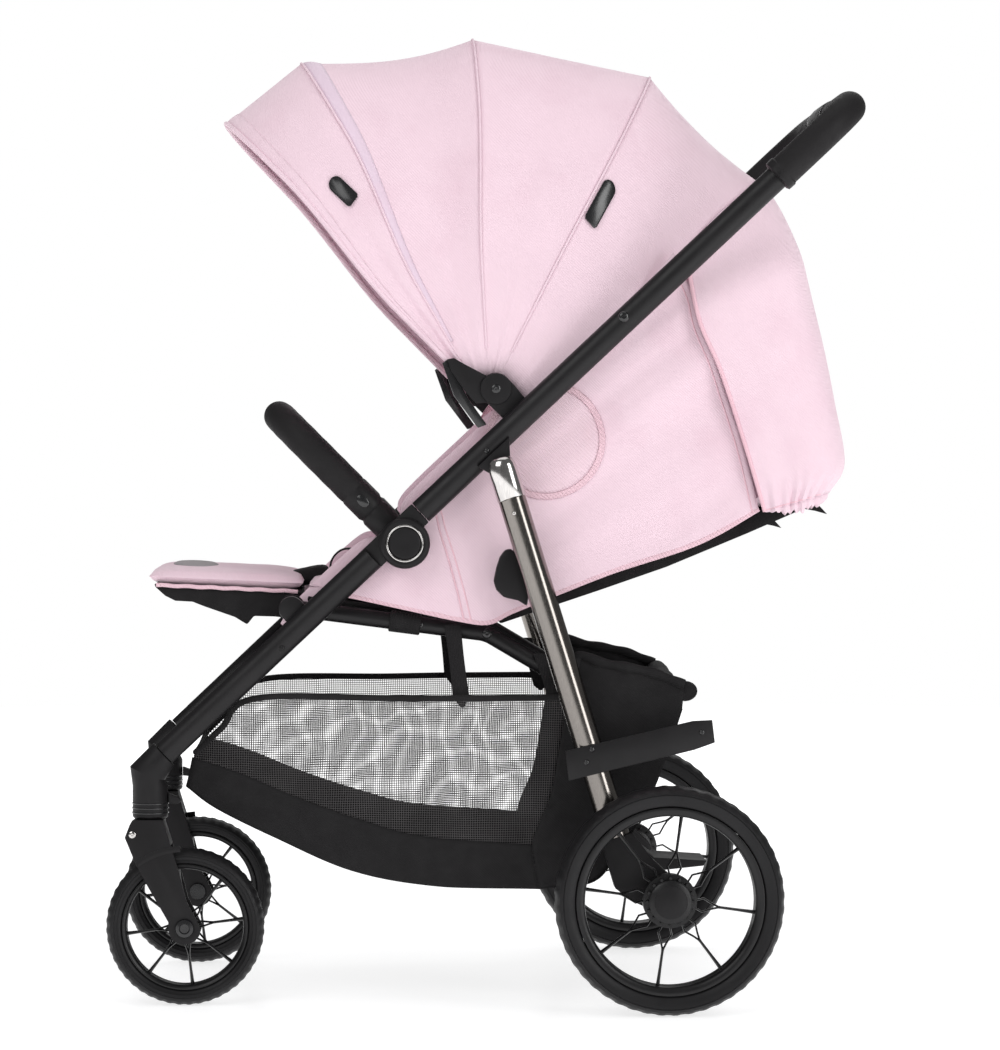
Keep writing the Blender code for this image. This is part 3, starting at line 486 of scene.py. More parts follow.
def add_turned(bm, profile, centre, axis=(0, 1, 0), steps=48, ring=False, tread=None):
    """A profile of (radius, distance) points turned round an axis; tread(k, radius) changes the radius."""
    axis = Vector(axis)
    first = Vector((0, 0, -1)) if abs(axis.z) < 0.5 else Vector((1, 0, 0))
    second = axis.cross(first)
    rows = []
    for radius, along in profile:
        middle = Vector(centre) + axis * along
        if radius < 1e-6:
            rows.append([bm.verts.new(middle)] * steps)
            continue
        row = []
        for k in range(steps):
            turn = 2 * math.pi * k / steps
            size = tread(k, radius) if tread else radius
            row.append(bm.verts.new(middle + (first * math.cos(turn) + second * math.sin(turn)) * size))
        rows.append(row)
    pairs = list(zip(rows, rows[1:]))
    if ring:
        pairs.append((rows[-1], rows[0]))
    for low, high in pairs:
        for i in range(steps):
            j = (i + 1) % steps
            corners = []
            for corner in (low[i], low[j], high[j], high[i]):
                if corner not in corners:
                    corners.append(corner)
            if len(corners) > 2:
                bm.faces.new(corners)
    return bm


def add_grid(bm, rows):
    """Adds a sheet through a grid of points."""
    grid = [[bm.verts.new(point) for point in row] for row in rows]
    for low, high in zip(grid, grid[1:]):
        for i in range(len(low) - 1):
            bm.faces.new((low[i], low[i + 1], high[i + 1], high[i]))
    return bm


def thickened(made, thickness, offset):
    """Gives a sheet its thickness, for good."""
    step = made.modifiers.new("thickness", "SOLIDIFY")
    step.thickness = thickness
    step.offset = offset
    return settle(made)


def settle(made):
    """Applies the modifiers of an object to its mesh."""
    depsgraph = bpy.context.evaluated_depsgraph_get()
    mesh = bpy.data.meshes.new_from_object(made.evaluated_get(depsgraph))
    old = made.data
    made.modifiers.clear()
    made.data = mesh
    bpy.data.meshes.remove(old)
    return made


def cloth_sheet(name, rows, look, body, thickness, offset=0.0, replaces=(), closed=False):
    """A thin sheet through a grid of points; with a body it rides on that body, closed welds its seam."""
    bm = add_grid(bmesh.new(), rows)
    if closed:
        bmesh.ops.remove_doubles(bm, verts=bm.verts, dist=1e-6)
    made = piece(name, bm, look, None, 60, replaces)
    thickened(made, thickness, offset)
    if body:
        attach(made, body)
    return made


def copy_node(node, look, body, bevel, segments=2):
    """A refined copy of a CAD node with rounded edges, in its place."""
    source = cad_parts[node]
    bm = bmesh.new()
    bm.from_mesh(source.data)
    bmesh.ops.remove_doubles(bm, verts=bm.verts, dist=1e-5)
    bmesh.ops.dissolve_limit(bm, angle_limit=math.radians(0.5), verts=bm.verts, edges=bm.edges)
    bevelled(bm, bevel, segments, 32.0)
    return piece(node + "_look", bm, look, body, 40.0, (node,))


def half_disc(centre, radius, start):
    """(x, z) points on a half circle that begins at an angle in degrees."""
    points = []
    for k in range(15):
        turn = math.radians(start + 180 * k / 14)
        points.append((centre.x + radius * math.cos(turn), centre.z + radius * math.sin(turn)))
    return points


def flat(point):
    """The (x, z) of a point."""
    return point.x, point.z


def at_y(point, y):
    """A point at the same x and z and another y."""
    return Vector((point.x, y, point.z))


def between(side, inner, outer):
    """The low and high y of what lies between two distances from the middle plane."""
    return sorted((side * inner, side * outer))


def curve_flat(points, count):
    """A smooth run in the middle plane through (x, z) points."""
    return curve_through([(x, 0, z) for x, z in points], count)


def smoothstep(low, high, value):
    """0 below low, 1 above high and a smooth rise between."""
    t = min(1.0, max(0.0, (value - low) / (high - low)))
    return t * t * (3 - 2 * t)


def rivet(bm, centre, side, radius, depth=0.0016):
    """A domed rivet head facing outwards on one side, with a small dimple."""
    profile = [(0, depth * 0.72), (radius * 0.30, depth * 0.78), (radius * 0.38, depth)]
    profile += [(radius * 0.72, depth * 0.86), (radius * 0.95, depth * 0.45), (radius, 0)]
    profile.append((radius * 0.9, -0.0008))
    return add_turned(bm, profile, centre, (0, side, 0), 20)


# ---------------------------------------------------------------- frame tubes
def lower_tubes():
    """The tubes from the front wheels to the fold hinges with their welded plates."""
    for label, side in SIDES:
        bm = bmesh.new()
        path = [on_tube(a, 0, side) for a in (0.012, 0.333)]
        add_tube(bm, path, TUBE_HALF_WIDTH, TUBE_HALF_HEIGHT, count=36)
        outline = half_disc(SEAT_PIVOT, 0.014, 43.3)
        outline += [flat(on_tube(0.2127, -0.002)), flat(on_tube(0.2407, -0.002))]
        merge(bm, plate(outline, *between(side, 0.1715, 0.1860)))
        middle = tube_y(HINGE_ALONG)
        merge(bm, plate(hinge_outline(-1, 0.047), *between(side, middle - 0.011, middle - 0.0003)))
        rivet(bm, on_tube(0.190, 0.004, side) + Vector((0, side * 0.0106, 0)), side, 0.0032)
        piece("lower_tube_look_" + label, bm, "paint", "lower_frame", 40, ("lower_tube_" + label,))
    bm = add_tube(bmesh.new(), [on_tube(0.035, 0, s) for s in (-0.92, 0.92)], 0.008, side=(1, 0, 0))
    piece("front_cross_tube_look", bm, "paint", "lower_frame", 40, ("front_cross_tube",))


def hinge_outline(way, arm):
    """A disc round the fold axis with an arm along the main tube."""
    radius = 0.028
    top = -HINGE_DROP - TUBE_HALF_HEIGHT
    bottom = -HINGE_DROP + TUBE_HALF_HEIGHT
    leave = math.degrees(math.asin(-top / radius))
    join = math.degrees(math.asin(-bottom / radius))
    points = [(arm, bottom), (arm, top)]
    for k in range(33):
        turn = math.radians(leave + (360 + join - leave) * k / 32)
        points.append((radius * math.cos(turn), -radius * math.sin(turn)))
    return [flat(HINGE + TUBE_DIRECTION * (way * a) + TUBE_DOWN * d) for a, d in points]


def upper_tubes():
    """The tubes from the fold hinges to the handle, with the fittings on them."""
    for label, side in SIDES:
        bm = bmesh.new()
        path = [on_tube(a, 0, side) for a in (0.407, 0.955)]
        add_tube(bm, path, TUBE_HALF_WIDTH, TUBE_HALF_HEIGHT, count=36)
        outline = half_disc(LEG_PIVOT, 0.012, -136.7)
        outline += [flat(on_tube(0.536, 0.006)), flat(on_tube(0.488, 0.006))]
        merge(bm, plate(outline, *between(side, 0.2120, 0.2255)))
        piece("upper_tube_look_" + label, bm, "paint", "upper_frame", 40, ("upper_tube_" + label,))

        bm = bmesh.new()
        for along, drop, radius in ((0.720, -0.004, 0.0062), (0.5075, 0.0, 0.0034)):
            rivet(bm, on_tube(along, drop, side) + Vector((0, side * 0.0105, 0)), side, radius, 0.0024)
        piece("tube_screws_" + label, bm, "gloss", "upper_frame", 40)

        start = on_tube(0.9553, 0, side)
        bm = bmesh.new()
        collar = [on_tube(a, 0, side) for a in (0.9500, 0.9515, 0.9600, 0.9615)]
        sizes = (1.05, 1.22, 1.24, 1.18)
        add_tube(bm, collar, 0.0145, 0.0158, count=32, swell=lambda k: sizes[k])
        piece("grip_collar_" + label, bm, "plastic", "upper_frame", 30)

        corner = on_tube(CROSSBAR_ALONG)
        corner.y = side * 0.243
        inner = corner.copy()
        inner.y = side * 0.0553
        path = rounded([start, corner, inner], 0.075, 14)
        bm = add_tube(bmesh.new(), path, 0.0182, count=36)
        piece("handle_grip_look_" + label, bm, "foam", "upper_frame", 50, ("handle_grip_" + label,))


def fold_hinges():
    """The outer plates, the dished covers and their bright rings."""
    for label, side in SIDES:
        middle = tube_y(HINGE_ALONG)
        bm = plate(hinge_outline(1, 0.036), *between(side, middle + 0.0003, middle + 0.012), 0.002)
        piece("fold_hinge_look_" + label, bm, "plastic", "upper_frame", 40, ("fold_hinge_" + label,))
        face = middle + 0.0123
        centre = (HINGE.x, side * face, HINGE.z)
        profile = [(0, 0), (0.0272, 0), (0.0283, 0.0012), (0.0283, 0.0030), (0.0270, 0.0062)]
        profile += [(0.0248, 0.0078), (0.0222, 0.0082), (0.0214, 0.0075), (0.0208, 0.0062), (0.0182, 0.0062)]
        profile.append((0.0176, 0.0075))
        profile += [(0.0166, 0.0082), (0.0150, 0.0084), (0.0060, 0.0080), (0, 0.0078)]
        bm = add_turned(bmesh.new(), profile, centre, (0, side, 0), 72)
        piece("hinge_cap_look_" + label, bm, "plastic", "upper_frame", 50, ("hinge_cap_" + label,))
        profile = [(0.0211, 0.0060), (0.0210, 0.0082), (0.0203, 0.0088)]
        profile += [(0.0193, 0.0088), (0.0186, 0.0082), (0.0185, 0.0060)]
        bm = add_turned(bmesh.new(), profile, centre, (0, side, 0), 72, ring=True)
        piece("hinge_ring_" + label, bm, "chrome", "upper_frame", 50)


def handle_middle():
    """The housing in the middle of the crossbar and its button."""
    centre = on_tube(CROSSBAR_ALONG)
    copy_node("fold_housing", "plastic", "upper_frame", 0.0006)
    rings = []
    for depth, grow in ((0.0165, 0.0), (0.0232, 0.0), (0.0246, -0.0006), (0.0252, -0.0022)):
        spot = centre + TUBE_DIRECTION * -depth
        rings.append(oval(spot, Vector((0, 1, 0)), TUBE_DOWN, 0.0158 + grow, 0.0078 + grow, 40))
    piece("fold_button_look", add_loft(bmesh.new(), rings), "gloss", "fold_button", 40, ("fold_button",))
    bm = bmesh.new()
    for side in (-1, 1):
        spot = centre + Vector((0, side * 0.0550, 0))
        path = [spot + Vector((0, side * d, 0)) for d in (-0.0015, -0.0008, 0.0008, 0.0015)]
        sizes = (0.96, 1.0, 1.0, 0.96)
        add_tube(bm, path, 0.0192, side=(1, 0, 0), count=36, swell=lambda k: sizes[k])
    piece("housing_rings", bm, "gloss", "upper_frame", 30)


# ---------------------------------------------------------------- wheels
def wheel(label, side, kind, centre, radius, width, seat, inner, hub, first_spoke, body):
    """A tyre with a tread, a rim, forked spokes and a hub."""
    half = width / 2
    centre = Vector(centre)

    def tread(k, r):
        return r - 0.0007 if r > radius - 0.0034 and k % 4 < 2 else r

    profile = [(seat - 0.0004, half * 0.66), (seat + 0.0012, half * 0.82), (seat + 0.004, half * 0.92)]
    profile += [(radius - 0.0125, half * 0.99), (radius - 0.0098, half), (radius - 0.0090, half * 0.955)]
    profile += [(radius - 0.0080, half * 0.985), (radius - 0.0052, half * 0.88)]
    profile += [(radius - 0.0026, half * 0.68), (radius - 0.0008, half * 0.40)]
    profile += [(radius - 0.0004, half * 0.16), (radius, half * 0.12)]
    profile += [(r, -along) for r, along in reversed(profile)]
    bm = add_turned(bmesh.new(), profile, centre, steps=192, ring=True, tread=tread)
    piece(f"{kind}_tyre_look_{label}", bm, "tyre", body, 24, (f"{kind}_tyre_{label}",))

    lip = half * 0.80
    profile = [(seat - 0.0005, lip * 0.78), (seat - 0.0009, lip * 0.97), (seat - 0.0024, lip)]
    profile += [(inner + 0.0026, lip * 0.94), (inner + 0.0008, lip * 0.82), (inner, lip * 0.60)]
    profile += [(inner + 0.0012, 0.002)]
    profile += [(r, -along) for r, along in reversed(profile)]
    bm = add_turned(bmesh.new(), profile, centre, steps=128, ring=True)
    kink = hub + (inner - hub) * 0.11
    fork = hub + (inner - hub) * 0.42
    for k in range(8):
        turn = first_spoke + 2 * math.pi * k / 8
        out = Vector((math.cos(turn), 0, math.sin(turn)))
        aside = Vector((-math.sin(turn), 0, math.cos(turn)))
        for way in (-1, 1):
            path = [out * (hub - 0.0015) + aside * (way * hub * 0.14)]
            path += [out * kink + aside * (way * hub * 0.25)]
            for t in (0.5, 0.85):
                path.append(out * (kink + (fork - kink) * t) + aside * (way * hub * 0.25 * (1 - t) ** 1.3))
            path += [out * fork + aside * (way * 0.0004)]
            add_tube(bm, [centre + p for p in path], 0.00115, 0.0036, side=aside, count=8)
        path = [centre + out * r for r in (fork - 0.003, (fork + inner) / 2, inner + 0.002)]
        sizes = (1.0, 1.12, 1.5)
        add_tube(bm, path, 0.00150, 0.0038, side=aside, count=10, swell=lambda j: sizes[j])
    bore = 0.0064 if kind == "rear" else 0.0054
    reach = 0.019 if kind == "rear" else 0.0152
    profile = [(bore, -reach), (hub * 0.72, -reach), (hub * 0.80, -reach + 0.002), (hub * 0.80, -0.0075)]
    profile += [(hub, -0.0062), (hub, 0.0062), (hub * 0.80, 0.0075), (hub * 0.80, reach - 0.0022)]
    profile += [(hub * 0.72, reach), (bore, reach)]
    add_turned(bm, profile, centre, steps=48, ring=True)
    for k in range(16 if kind == "rear" else 0):
        turn = 2 * math.pi * k / 16
        out = Vector((math.cos(turn), 0, math.sin(turn)))
        for way in (-1, 1):
            path = [centre + out * (hub * 0.86) + Vector((0, way * y, 0)) for y in (0.005, 0.0150)]
            add_tube(bm, path, 0.0018, side=(1, 0, 0), count=8)
    piece(f"{kind}_rim_look_{label}", bm, "rim", body, 40, (f"{kind}_rim_{label}",))
    if kind == "rear":
        face = centre + Vector((0, side * 0.0180, 0))
        profile = [(0, 0), (0.0176, 0), (0.0184, 0.0008), (0.0184, 0.0012), (0.0172, 0.0021), (0, 0.0026)]
        bm = add_turned(bmesh.new(), profile, face, (0, side, 0), 48)
        piece(f"hub_cap_{label}", bm, "plastic", body, 40)


def wheels():
    """All four wheels."""
    for label, side in SIDES:
        place = (REAR_AXLE.x, side * REAR_TRACK, REAR_AXLE.z)
        turn = math.radians(-8)
        wheel(label, side, "rear", place, 0.1275, 0.040, 0.1050, 0.0942, 0.030, turn, "rear_wheel_" + label)
        place = (FRONT_AXLE.x, side * FRONT_TRACK, FRONT_AXLE.z)
        turn = math.radians(7)
        wheel(label, side, "front", place, 0.089, 0.030, 0.0715, 0.0652, 0.0125, turn, "front_wheel_" + label)


def front_casters():
    """Swivel housings, locks, forks and axle bolts."""
    for label, side in SIDES:
        y = side * FRONT_TRACK
        copy_node("fork_head_" + label, "plastic", "lower_frame", 0.0006)
        bm = bmesh.new()
        for z, radius in ((0.2175, 0.0207), (0.2228, 0.0206), (0.2280, 0.0205)):
            inner = radius - 0.0012
            profile = [(inner, -0.0012), (radius, -0.0006), (radius, 0.0006), (inner, 0.0012)]
            add_turned(bm, profile, (SWIVEL_X, y, z), (0, 0, 1), 48, ring=True)
        piece("swivel_rings_" + label, bm, "gloss", "lower_frame", 40)
        copy_node("swivel_lock_" + label, "plastic", "swivel_lock_" + label, 0.0010)
        copy_node("front_fork_" + label, "plastic", "caster_" + label, 0.0010)
        outer = side * 0.0225
        bm = bmesh.new()
        screw = Vector((-0.3985, y + outer, 0.1945))
        rivet(bm, screw, side, 0.0040, 0.0012)
        piece("fork_screw_" + label, bm, "chrome", "caster_" + label, 40)
        guard = []
        for k in range(13):
            turn = math.radians(126 - 33 * k / 12)
            r = 0.0895
            guard.append(at_y(FRONT_AXLE, y + outer) + Vector((r * math.cos(turn), 0, r * math.sin(turn))))
        bm = add_tube(bmesh.new(), guard, 0.0012, 0.0036, side=(0, 1, 0), count=10)
        piece("fork_ridge_" + label, bm, "plastic", "caster_" + label, 40)
        bm = bmesh.new()
        face = 0.0228
        profile = [(0.0049, -face), (0.0049, face), (0.0105, face), (0.0108, face + 0.0010)]
        profile += [(0.0098, face + 0.0034), (0.0062, face + 0.0040), (0.0050, face + 0.0024)]
        profile.append((0, face + 0.0022))
        add_turned(bm, profile, (FRONT_AXLE.x, y, FRONT_AXLE.z), (0, side, 0), 32)
        profile = [(0, -face - 0.004), (0.0095, -face - 0.0036), (0.0105, -face), (0.0049, -face)]
        add_turned(bm, profile, (FRONT_AXLE.x, y, FRONT_AXLE.z), (0, side, 0), 32)
        piece("front_axle_look_" + label, bm, "gloss", "caster_" + label, 40, ("front_axle_" + label,))


# ---------------------------------------------------------------- rear legs
def rear_legs():
    """The bright legs with their caps, guards, feet, strip rivets and the cross tube."""
    for label, side in SIDES:
        foot = at_y(LEG_FOOT, side * LEG_Y)
        top = at_y(LEG_PIVOT, side * LEG_Y)
        along = (foot - top).normalized()
        across = Vector((-along.z, 0, along.x))
        body = "rear_legs"
        bm = add_tube(bmesh.new(), [top + along * 0.034, foot], 0.0155, count=40)
        stub = [at_y(LINK_PIVOT, side * y) for y in (0.1715, 0.2200)]
        add_tube(bm, stub, 0.006, side=(1, 0, 0))
        piece("rear_leg_look_" + label, bm, "leg", body, 40, ("rear_leg_" + label,))

        bm = bmesh.new()
        steps = (-0.0140, -0.0125, -0.0095, -0.004, 0.004, 0.034, 0.0352)
        sizes = (0.45, 0.68, 0.88, 1.0, 1.03, 1.05, 1.0)
        path = [top + along * s for s in steps]
        add_tube(bm, path, 0.0155, 0.0122, side=across, count=40, swell=lambda k: sizes[k])
        piece("leg_cap_" + label, bm, "chrome", body, 50)
        bm = bmesh.new()
        rivet(bm, top + along * 0.0500 + Vector((0, side * 0.0146, 0)) + across * -0.0030, side, 0.0024)
        piece("leg_rivet_" + label, bm, "chrome", body, 40)

        outline = [(0.0256, 0.5153), (0.0186, 0.5139), (0.0128, 0.5058), (0.0089, 0.4936), (0.0057, 0.4788)]
        outline += [(0.0089, 0.4690), (0.0167, 0.4608), (0.0335, 0.4570), (0.0435, 0.4505), (0.0460, 0.4690)]
        outline.append((0.0330, 0.5080))
        bm = plate(outline, *between(side, 0.2000, 0.2135), 0.004)
        piece("leg_guard_" + label, bm, "plastic", body, 40)

        copy_node("axle_housing_" + label, "plastic", body, 0.0030, segments=3)
        copy_node("parking_foot_" + label, "paint", body, 0.0005)
        bm = bmesh.new()
        for x, z in ((0.1075, 0.2790), (0.1135, 0.2935), (0.236, 0.312)):
            rivet(bm, Vector((x, side * 0.2488, z)), side, 0.0032)
        piece("strip_rivets_" + label, bm, "gloss", body, 40)
    path = [at_y(CROSS_TUBE, y) for y in (-0.2157, 0.2157)]
    bm = add_tube(bmesh.new(), path, 0.011, side=(1, 0, 0), count=32)
    piece("rear_axle_look", bm, "paint", "rear_legs", 40, ("rear_axle",))
    copy_node("brake_pedal", "plastic", "brake_pedal", 0.0030, segments=3)


# ---------------------------------------------------------------- seat frame, bumper
def seat_frame():
    """The cranked seat bars with their fittings."""
    for label, side in SIDES:
        y = side * SEAT_BAR_Y
        points = [SEAT_PIVOT.copy(), SEAT_HINGE.copy(), LINK_PIVOT.copy()]
        for point in points:
            point.y = y
        points[0] -= (points[1] - points[0]).normalized() * 0.008
        points[2] += (points[2] - points[1]).normalized() * 0.008
        bm = add_tube(bmesh.new(), rounded(points, 0.04, 8), 0.0095, count=28)
        piece("seat_bar_look_" + label, bm, "paint", "seat", 40, ("seat_bar_" + label,))
        bm = bmesh.new()
        for spot, radius in ((SEAT_HINGE, 0.0058), (LINK_PIVOT, 0.0048), (SEAT_PIVOT, 0.0060)):
            rivet(bm, at_y(spot, y + side * 0.0088), side, radius, 0.0022)
        mid = SEAT_PIVOT.lerp(SEAT_HINGE, 0.66)
        rivet(bm, at_y(mid, y + side * 0.0088), side, 0.0034)
        piece("seat_bar_rivets_" + label, bm, "gloss", "seat", 40)
        sleeve = [SEAT_PIVOT.lerp(SEAT_HINGE, t) for t in (0.500, 0.505, 0.655, 0.660)]
        for point in sleeve:
            point.y = y
        sizes = (0.9, 1.0, 1.0, 0.9)
        bm = add_tube(bmesh.new(), sleeve, 0.0122, count=28, swell=lambda k: sizes[k])
        piece("seat_bar_sleeve_" + label, bm, "webbing", "seat", 40)


def bumper():
    """The padded bow, creased along its length, with its jointed ends and their buttons."""
    out = (BUMPER_END - HINGE).normalized()
    start = HINGE + out * 0.016
    tip = BUMPER_END + out * 0.004
    points = []
    for point, y in ((start, -1), (tip, -1), (tip, 1), (start, 1)):
        points.append(at_y(point, y * BUMPER_HALF_WIDTH))
    path = []
    dense = rounded(points, 0.075, 16)
    for one, two in zip(dense, dense[1:]):
        count = max(1, int((two - one).length / 0.006))
        path += [one.lerp(two, k / count) for k in range(count)]
    path.append(dense[-1])

    def swell(k):
        from_end = min(k, len(path) - 1 - k)
        crease = 0.010 * math.sin(k * 1.7) * smoothstep(0.0, 12.0, from_end)
        return (0.90 if from_end < 11 else 0.985) + crease

    bm = add_tube(bmesh.new(), path, 0.0175, 0.0175, count=32, swell=swell)
    piece("bumper_grip", bm, "foam", "bumper", 50, ("bumper_bar",))
    for label, side in SIDES:
        root = at_y(start, side * BUMPER_HALF_WIDTH)
        joint = [root + out * d for d in (0.002, 0.006, 0.030, 0.034, 0.038, 0.062, 0.066)]
        sizes = (0.80, 0.98, 1.0, 0.90, 1.0, 1.0, 0.94)
        bm = add_tube(bmesh.new(), joint, 0.0176, 0.0176, count=32, swell=lambda k: sizes[k])
        piece("bumper_joint_" + label, bm, "plastic", "bumper", 30)
        bm = bmesh.new()
        button = at_y(start, side * (BUMPER_HALF_WIDTH + 0.0168)) + out * 0.050
        rings = []
        across = Vector((-out.z, 0, out.x))
        for depth, size in ((-0.002, 1.0), (0.0010, 1.0), (0.0016, 0.85)):
            spot = button + Vector((0, side * depth, 0))
            rings.append(oval(spot, out, across, 0.008 * size, 0.0055 * size, 28))
        add_loft(bm, rings)
        piece("bumper_button_" + label, bm, "gloss", "bumper", 40)


# ---------------------------------------------------------------- canopy
REAR_EDGE = dict(angle=38.0, reach=0.398, shift=-0.037)
REAR_SEAM = dict(angle=63.0, reach=0.411, shift=0.003)
MIDDLE_SEAM = dict(angle=92.9, reach=0.410, shift=0.008)
FRONT_SEAM = dict(angle=120.0, reach=0.440, shift=0.018)
VISOR_EDGE = dict(angle=134.7, reach=0.437, shift=0.016)
HOOPS = (("rear", REAR_SEAM, "canopy_rear_hoop"), ("middle", MIDDLE_SEAM, "canopy_middle_hoop"),
         ("front", FRONT_SEAM, "canopy_front_hoop"), ("visor", VISOR_EDGE, "visor"))
REAR_SAG = 0.0165
FRONT_SAG = 0.023
VISOR_SAG = 0.0036
CANOPY_HALF_WIDTH = 0.1885


def canopy_point(one, two, t, u, sag=0.0, lift=0.0):
    """A point on the cloth between two hoops: t goes from one to the other, u round the hoop.

    shift moves the lower part of a seam towards the front; sag pulls the cloth in between hoops.
    """
    angle = math.radians(one["angle"] + (two["angle"] - one["angle"]) * t)
    reach = one["reach"] + (two["reach"] - one["reach"]) * t
    shift = one["shift"] + (two["shift"] - one["shift"]) * t
    out = Vector((math.cos(angle), 0, math.sin(angle)))
    on = Vector((-math.sin(angle), 0, math.cos(angle)))
    belly = 4 * t * (1 - t)
    rise = math.sin(u) ** 0.76
    pull = sag * belly * smoothstep(0.05, 0.5, rise)
    radius = (reach - pull + lift) * rise
    across = -math.copysign(abs(math.cos(u)) ** 0.76, math.cos(u))
    width = CANOPY_HALF_WIDTH - pull * 0.55 + lift
    lower = 1 - smoothstep(0.14, 0.34, radius)
    return CANOPY_PIVOT + out * radius + on * (shift * lower) + Vector((0, width * across, 0))


def crumple(point, t, u, seed, strength=1.0):
    """Small folds: across the panel low down by the hinge, and broad soft ones higher up."""
    radius = (point - CANOPY_PIVOT).length
    side = math.copysign(1.0, point.y)
    belly = 4 * t * (1 - t)
    low = smoothstep(0.03, 0.07, radius) * (1 - smoothstep(0.20, 0.30, abs(math.sin(u)) * 0.41))
    phase = 3.0 * noise.noise(Vector((seed, t * 2.2, radius * 9)))
    fold = math.sin(radius * 2 * math.pi / 0.021 + phase + t * 3.2) * low * belly
    out = radius * 4.0
    soft = noise.noise(Vector((seed + t * 2.6, out, side * 3.0)))
    soft += 0.5 * noise.noise(Vector((t * 6.0, out * 1.7, seed)))
    soft *= 0.0034 * belly
    return side * (fold * 0.0013 * strength + soft)


def blend_across(made):
    """Bakes a canopy piece's placement into its mesh."""
    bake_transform(made)


def panel(name, one, two, sag, seed, cad, strength=1.0, columns=22):
    """One panel of the canopy, between its two hoops."""
    low = 0.013
    rows = []
    for i in range(columns + 1):
        t = i / columns
        row = []
        for k in range(73):
            u = low + (math.pi - 2 * low) * k / 72
            point = canopy_point(one, two, t, u, sag)
            point.y += crumple(point, t, u, seed, strength)
            row.append(point)
        rows.append(row)
    made = cloth_sheet(name, rows, "pink", None, 0.0014, -1.0, (cad,))
    blend_across(made)
    return made


def seam_path(hoop, low, count, lift):
    """Points along one hoop, which starts and ends a little way up from the hinge."""
    path = []
    for k in range(count + 1):
        u = low + (math.pi - low - low) * k / count
        path.append(canopy_point(hoop, hoop, 0, u, 0, lift))
    return path


def ribbon(name, one, two, t_from, lift, look, body, seed, sag, strength=1.0):
    """A narrow band of cloth laid on a panel beside the seam at its end."""
    low = 0.09
    columns = 4
    rows = []
    for i in range(columns + 1):
        t = t_from + (0.995 - t_from) * i / columns
        rise = lift * math.sin(math.pi * i / columns) + 0.0006
        row = []
        for k in range(81):
            u = low + (math.pi - 2 * low) * k / 80
            point = canopy_point(one, two, t, u, sag, rise)
            point.y += crumple(point, t, u, seed, strength)
            row.append(point)
        rows.append(row)
    cloth_sheet(name, rows, look, body, 0.0010, -1.0)


def canopy():
    """The four panels, piping on the hoops, the band beside the front seam and the hem of the visor."""
    rear = panel("canopy_rear_cloth", REAR_EDGE, REAR_SEAM, REAR_SAG,
                 2.1, "canopy_rear")
    middle = panel("canopy_middle_cloth", REAR_SEAM, MIDDLE_SEAM, 0.014,
                   5.7, "canopy_middle")
    front = panel("canopy_front_cloth", MIDDLE_SEAM, FRONT_SEAM, FRONT_SAG,
                  9.4, "canopy_front")
    visor = panel("canopy_visor_cloth", FRONT_SEAM, VISOR_EDGE, VISOR_SAG,
                  14.2, "canopy_visor", columns=14, strength=0.6)

    low = 0.055
    for name, hoop, body in HOOPS:
        path = seam_path(hoop, low, 96, 0.0004)
        bm = add_tube(bmesh.new(), path, 0.0026 if name == "visor" else 0.0013, side=(1, 0, 0), count=10)
        piece(f"canopy_{name}_piping", bm, "pink", body, 60)
    # a raised band beside the front seam, coloured lilac as a painted highlight
    ribbon("canopy_front_sleeve", MIDDLE_SEAM, FRONT_SEAM, 0.905, 0.0022, "lilac", "canopy_front_hoop", 9.4,
           FRONT_SAG)
    ribbon("canopy_visor_hem", FRONT_SEAM, VISOR_EDGE, 0.84, 0.0010, "pink", "visor", 14.2, VISOR_SAG, 0.6)


def ribs():
    """The wires inside the canopy, along its seams."""
    for name, hoop, body in HOOPS:
        path = seam_path(hoop, 0.050, 90, -0.0060)
        bm = add_tube(bmesh.new(), path, 0.0034, 0.0030, side=(1, 0, 0), count=14)
        piece(f"canopy_{name}_wire", bm, "lining", body, 60, ("canopy_rib_" + name,))


def canopy_hinges():
    """The round bosses with their flat arms that the canopy turns on."""
    for label, side in SIDES:
        copy_node("canopy_bracket_" + label, "plastic", "upper_frame", 0.0012)
        face = side * (tube_y(CANOPY_ALONG) - TUBE_HALF_WIDTH - 0.0015)
        bm = bmesh.new()
        profile = [(0, 0.0012), (0.0022, 0.0014), (0.0030, 0.0026), (0.0135, 0.0030), (0.0172, 0.0022)]
        profile.append((0.0178, -0.0010))
        centre = (CANOPY_PIVOT.x, face, CANOPY_PIVOT.z)
        add_turned(bm, profile + [(0.0150, -0.0030), (0, -0.0030)], centre, (0, side, 0), 48)
        piece("canopy_boss_" + label, bm, "plastic", "upper_frame", 40)
        bm = bmesh.new()
        rivet(bm, at_y(CANOPY_PIVOT, face + side * 0.0026), side, 0.0052, 0.0014)
        piece("canopy_screw_" + label, bm, "gloss", "upper_frame", 40)
        shape = [(-0.010, 0.0145), (-0.034, 0.0270), (-0.047, 0.0345), (-0.055, 0.0330), (-0.0495, 0.0190)]
        shape += [(-0.034, -0.0040), (-0.022, -0.0165), (-0.006, -0.0150)]
        arm = [(CANOPY_PIVOT.x + x, CANOPY_PIVOT.z + z) for x, z in shape]
        low, high = sorted((face - side * 0.0035, face - side * 0.0005))
        piece("canopy_arm_" + label, plate(arm, low, high, 0.0010), "plastic", "upper_frame", 40)
        shape = [(-0.060, 0.0290), (-0.054, 0.0330), (-0.0300, -0.0120), (-0.0100, -0.0400)]
        shape += [(-0.0200, -0.0440), (-0.0470, -0.0080)]
        clip = [(CANOPY_PIVOT.x + x, CANOPY_PIVOT.z + z) for x, z in shape]
        low, high = sorted((face - side * 0.0090, face - side * 0.0045))
        piece("canopy_clip_" + label, plate(clip, low, high, 0.0012), "gloss", "upper_frame", 40)


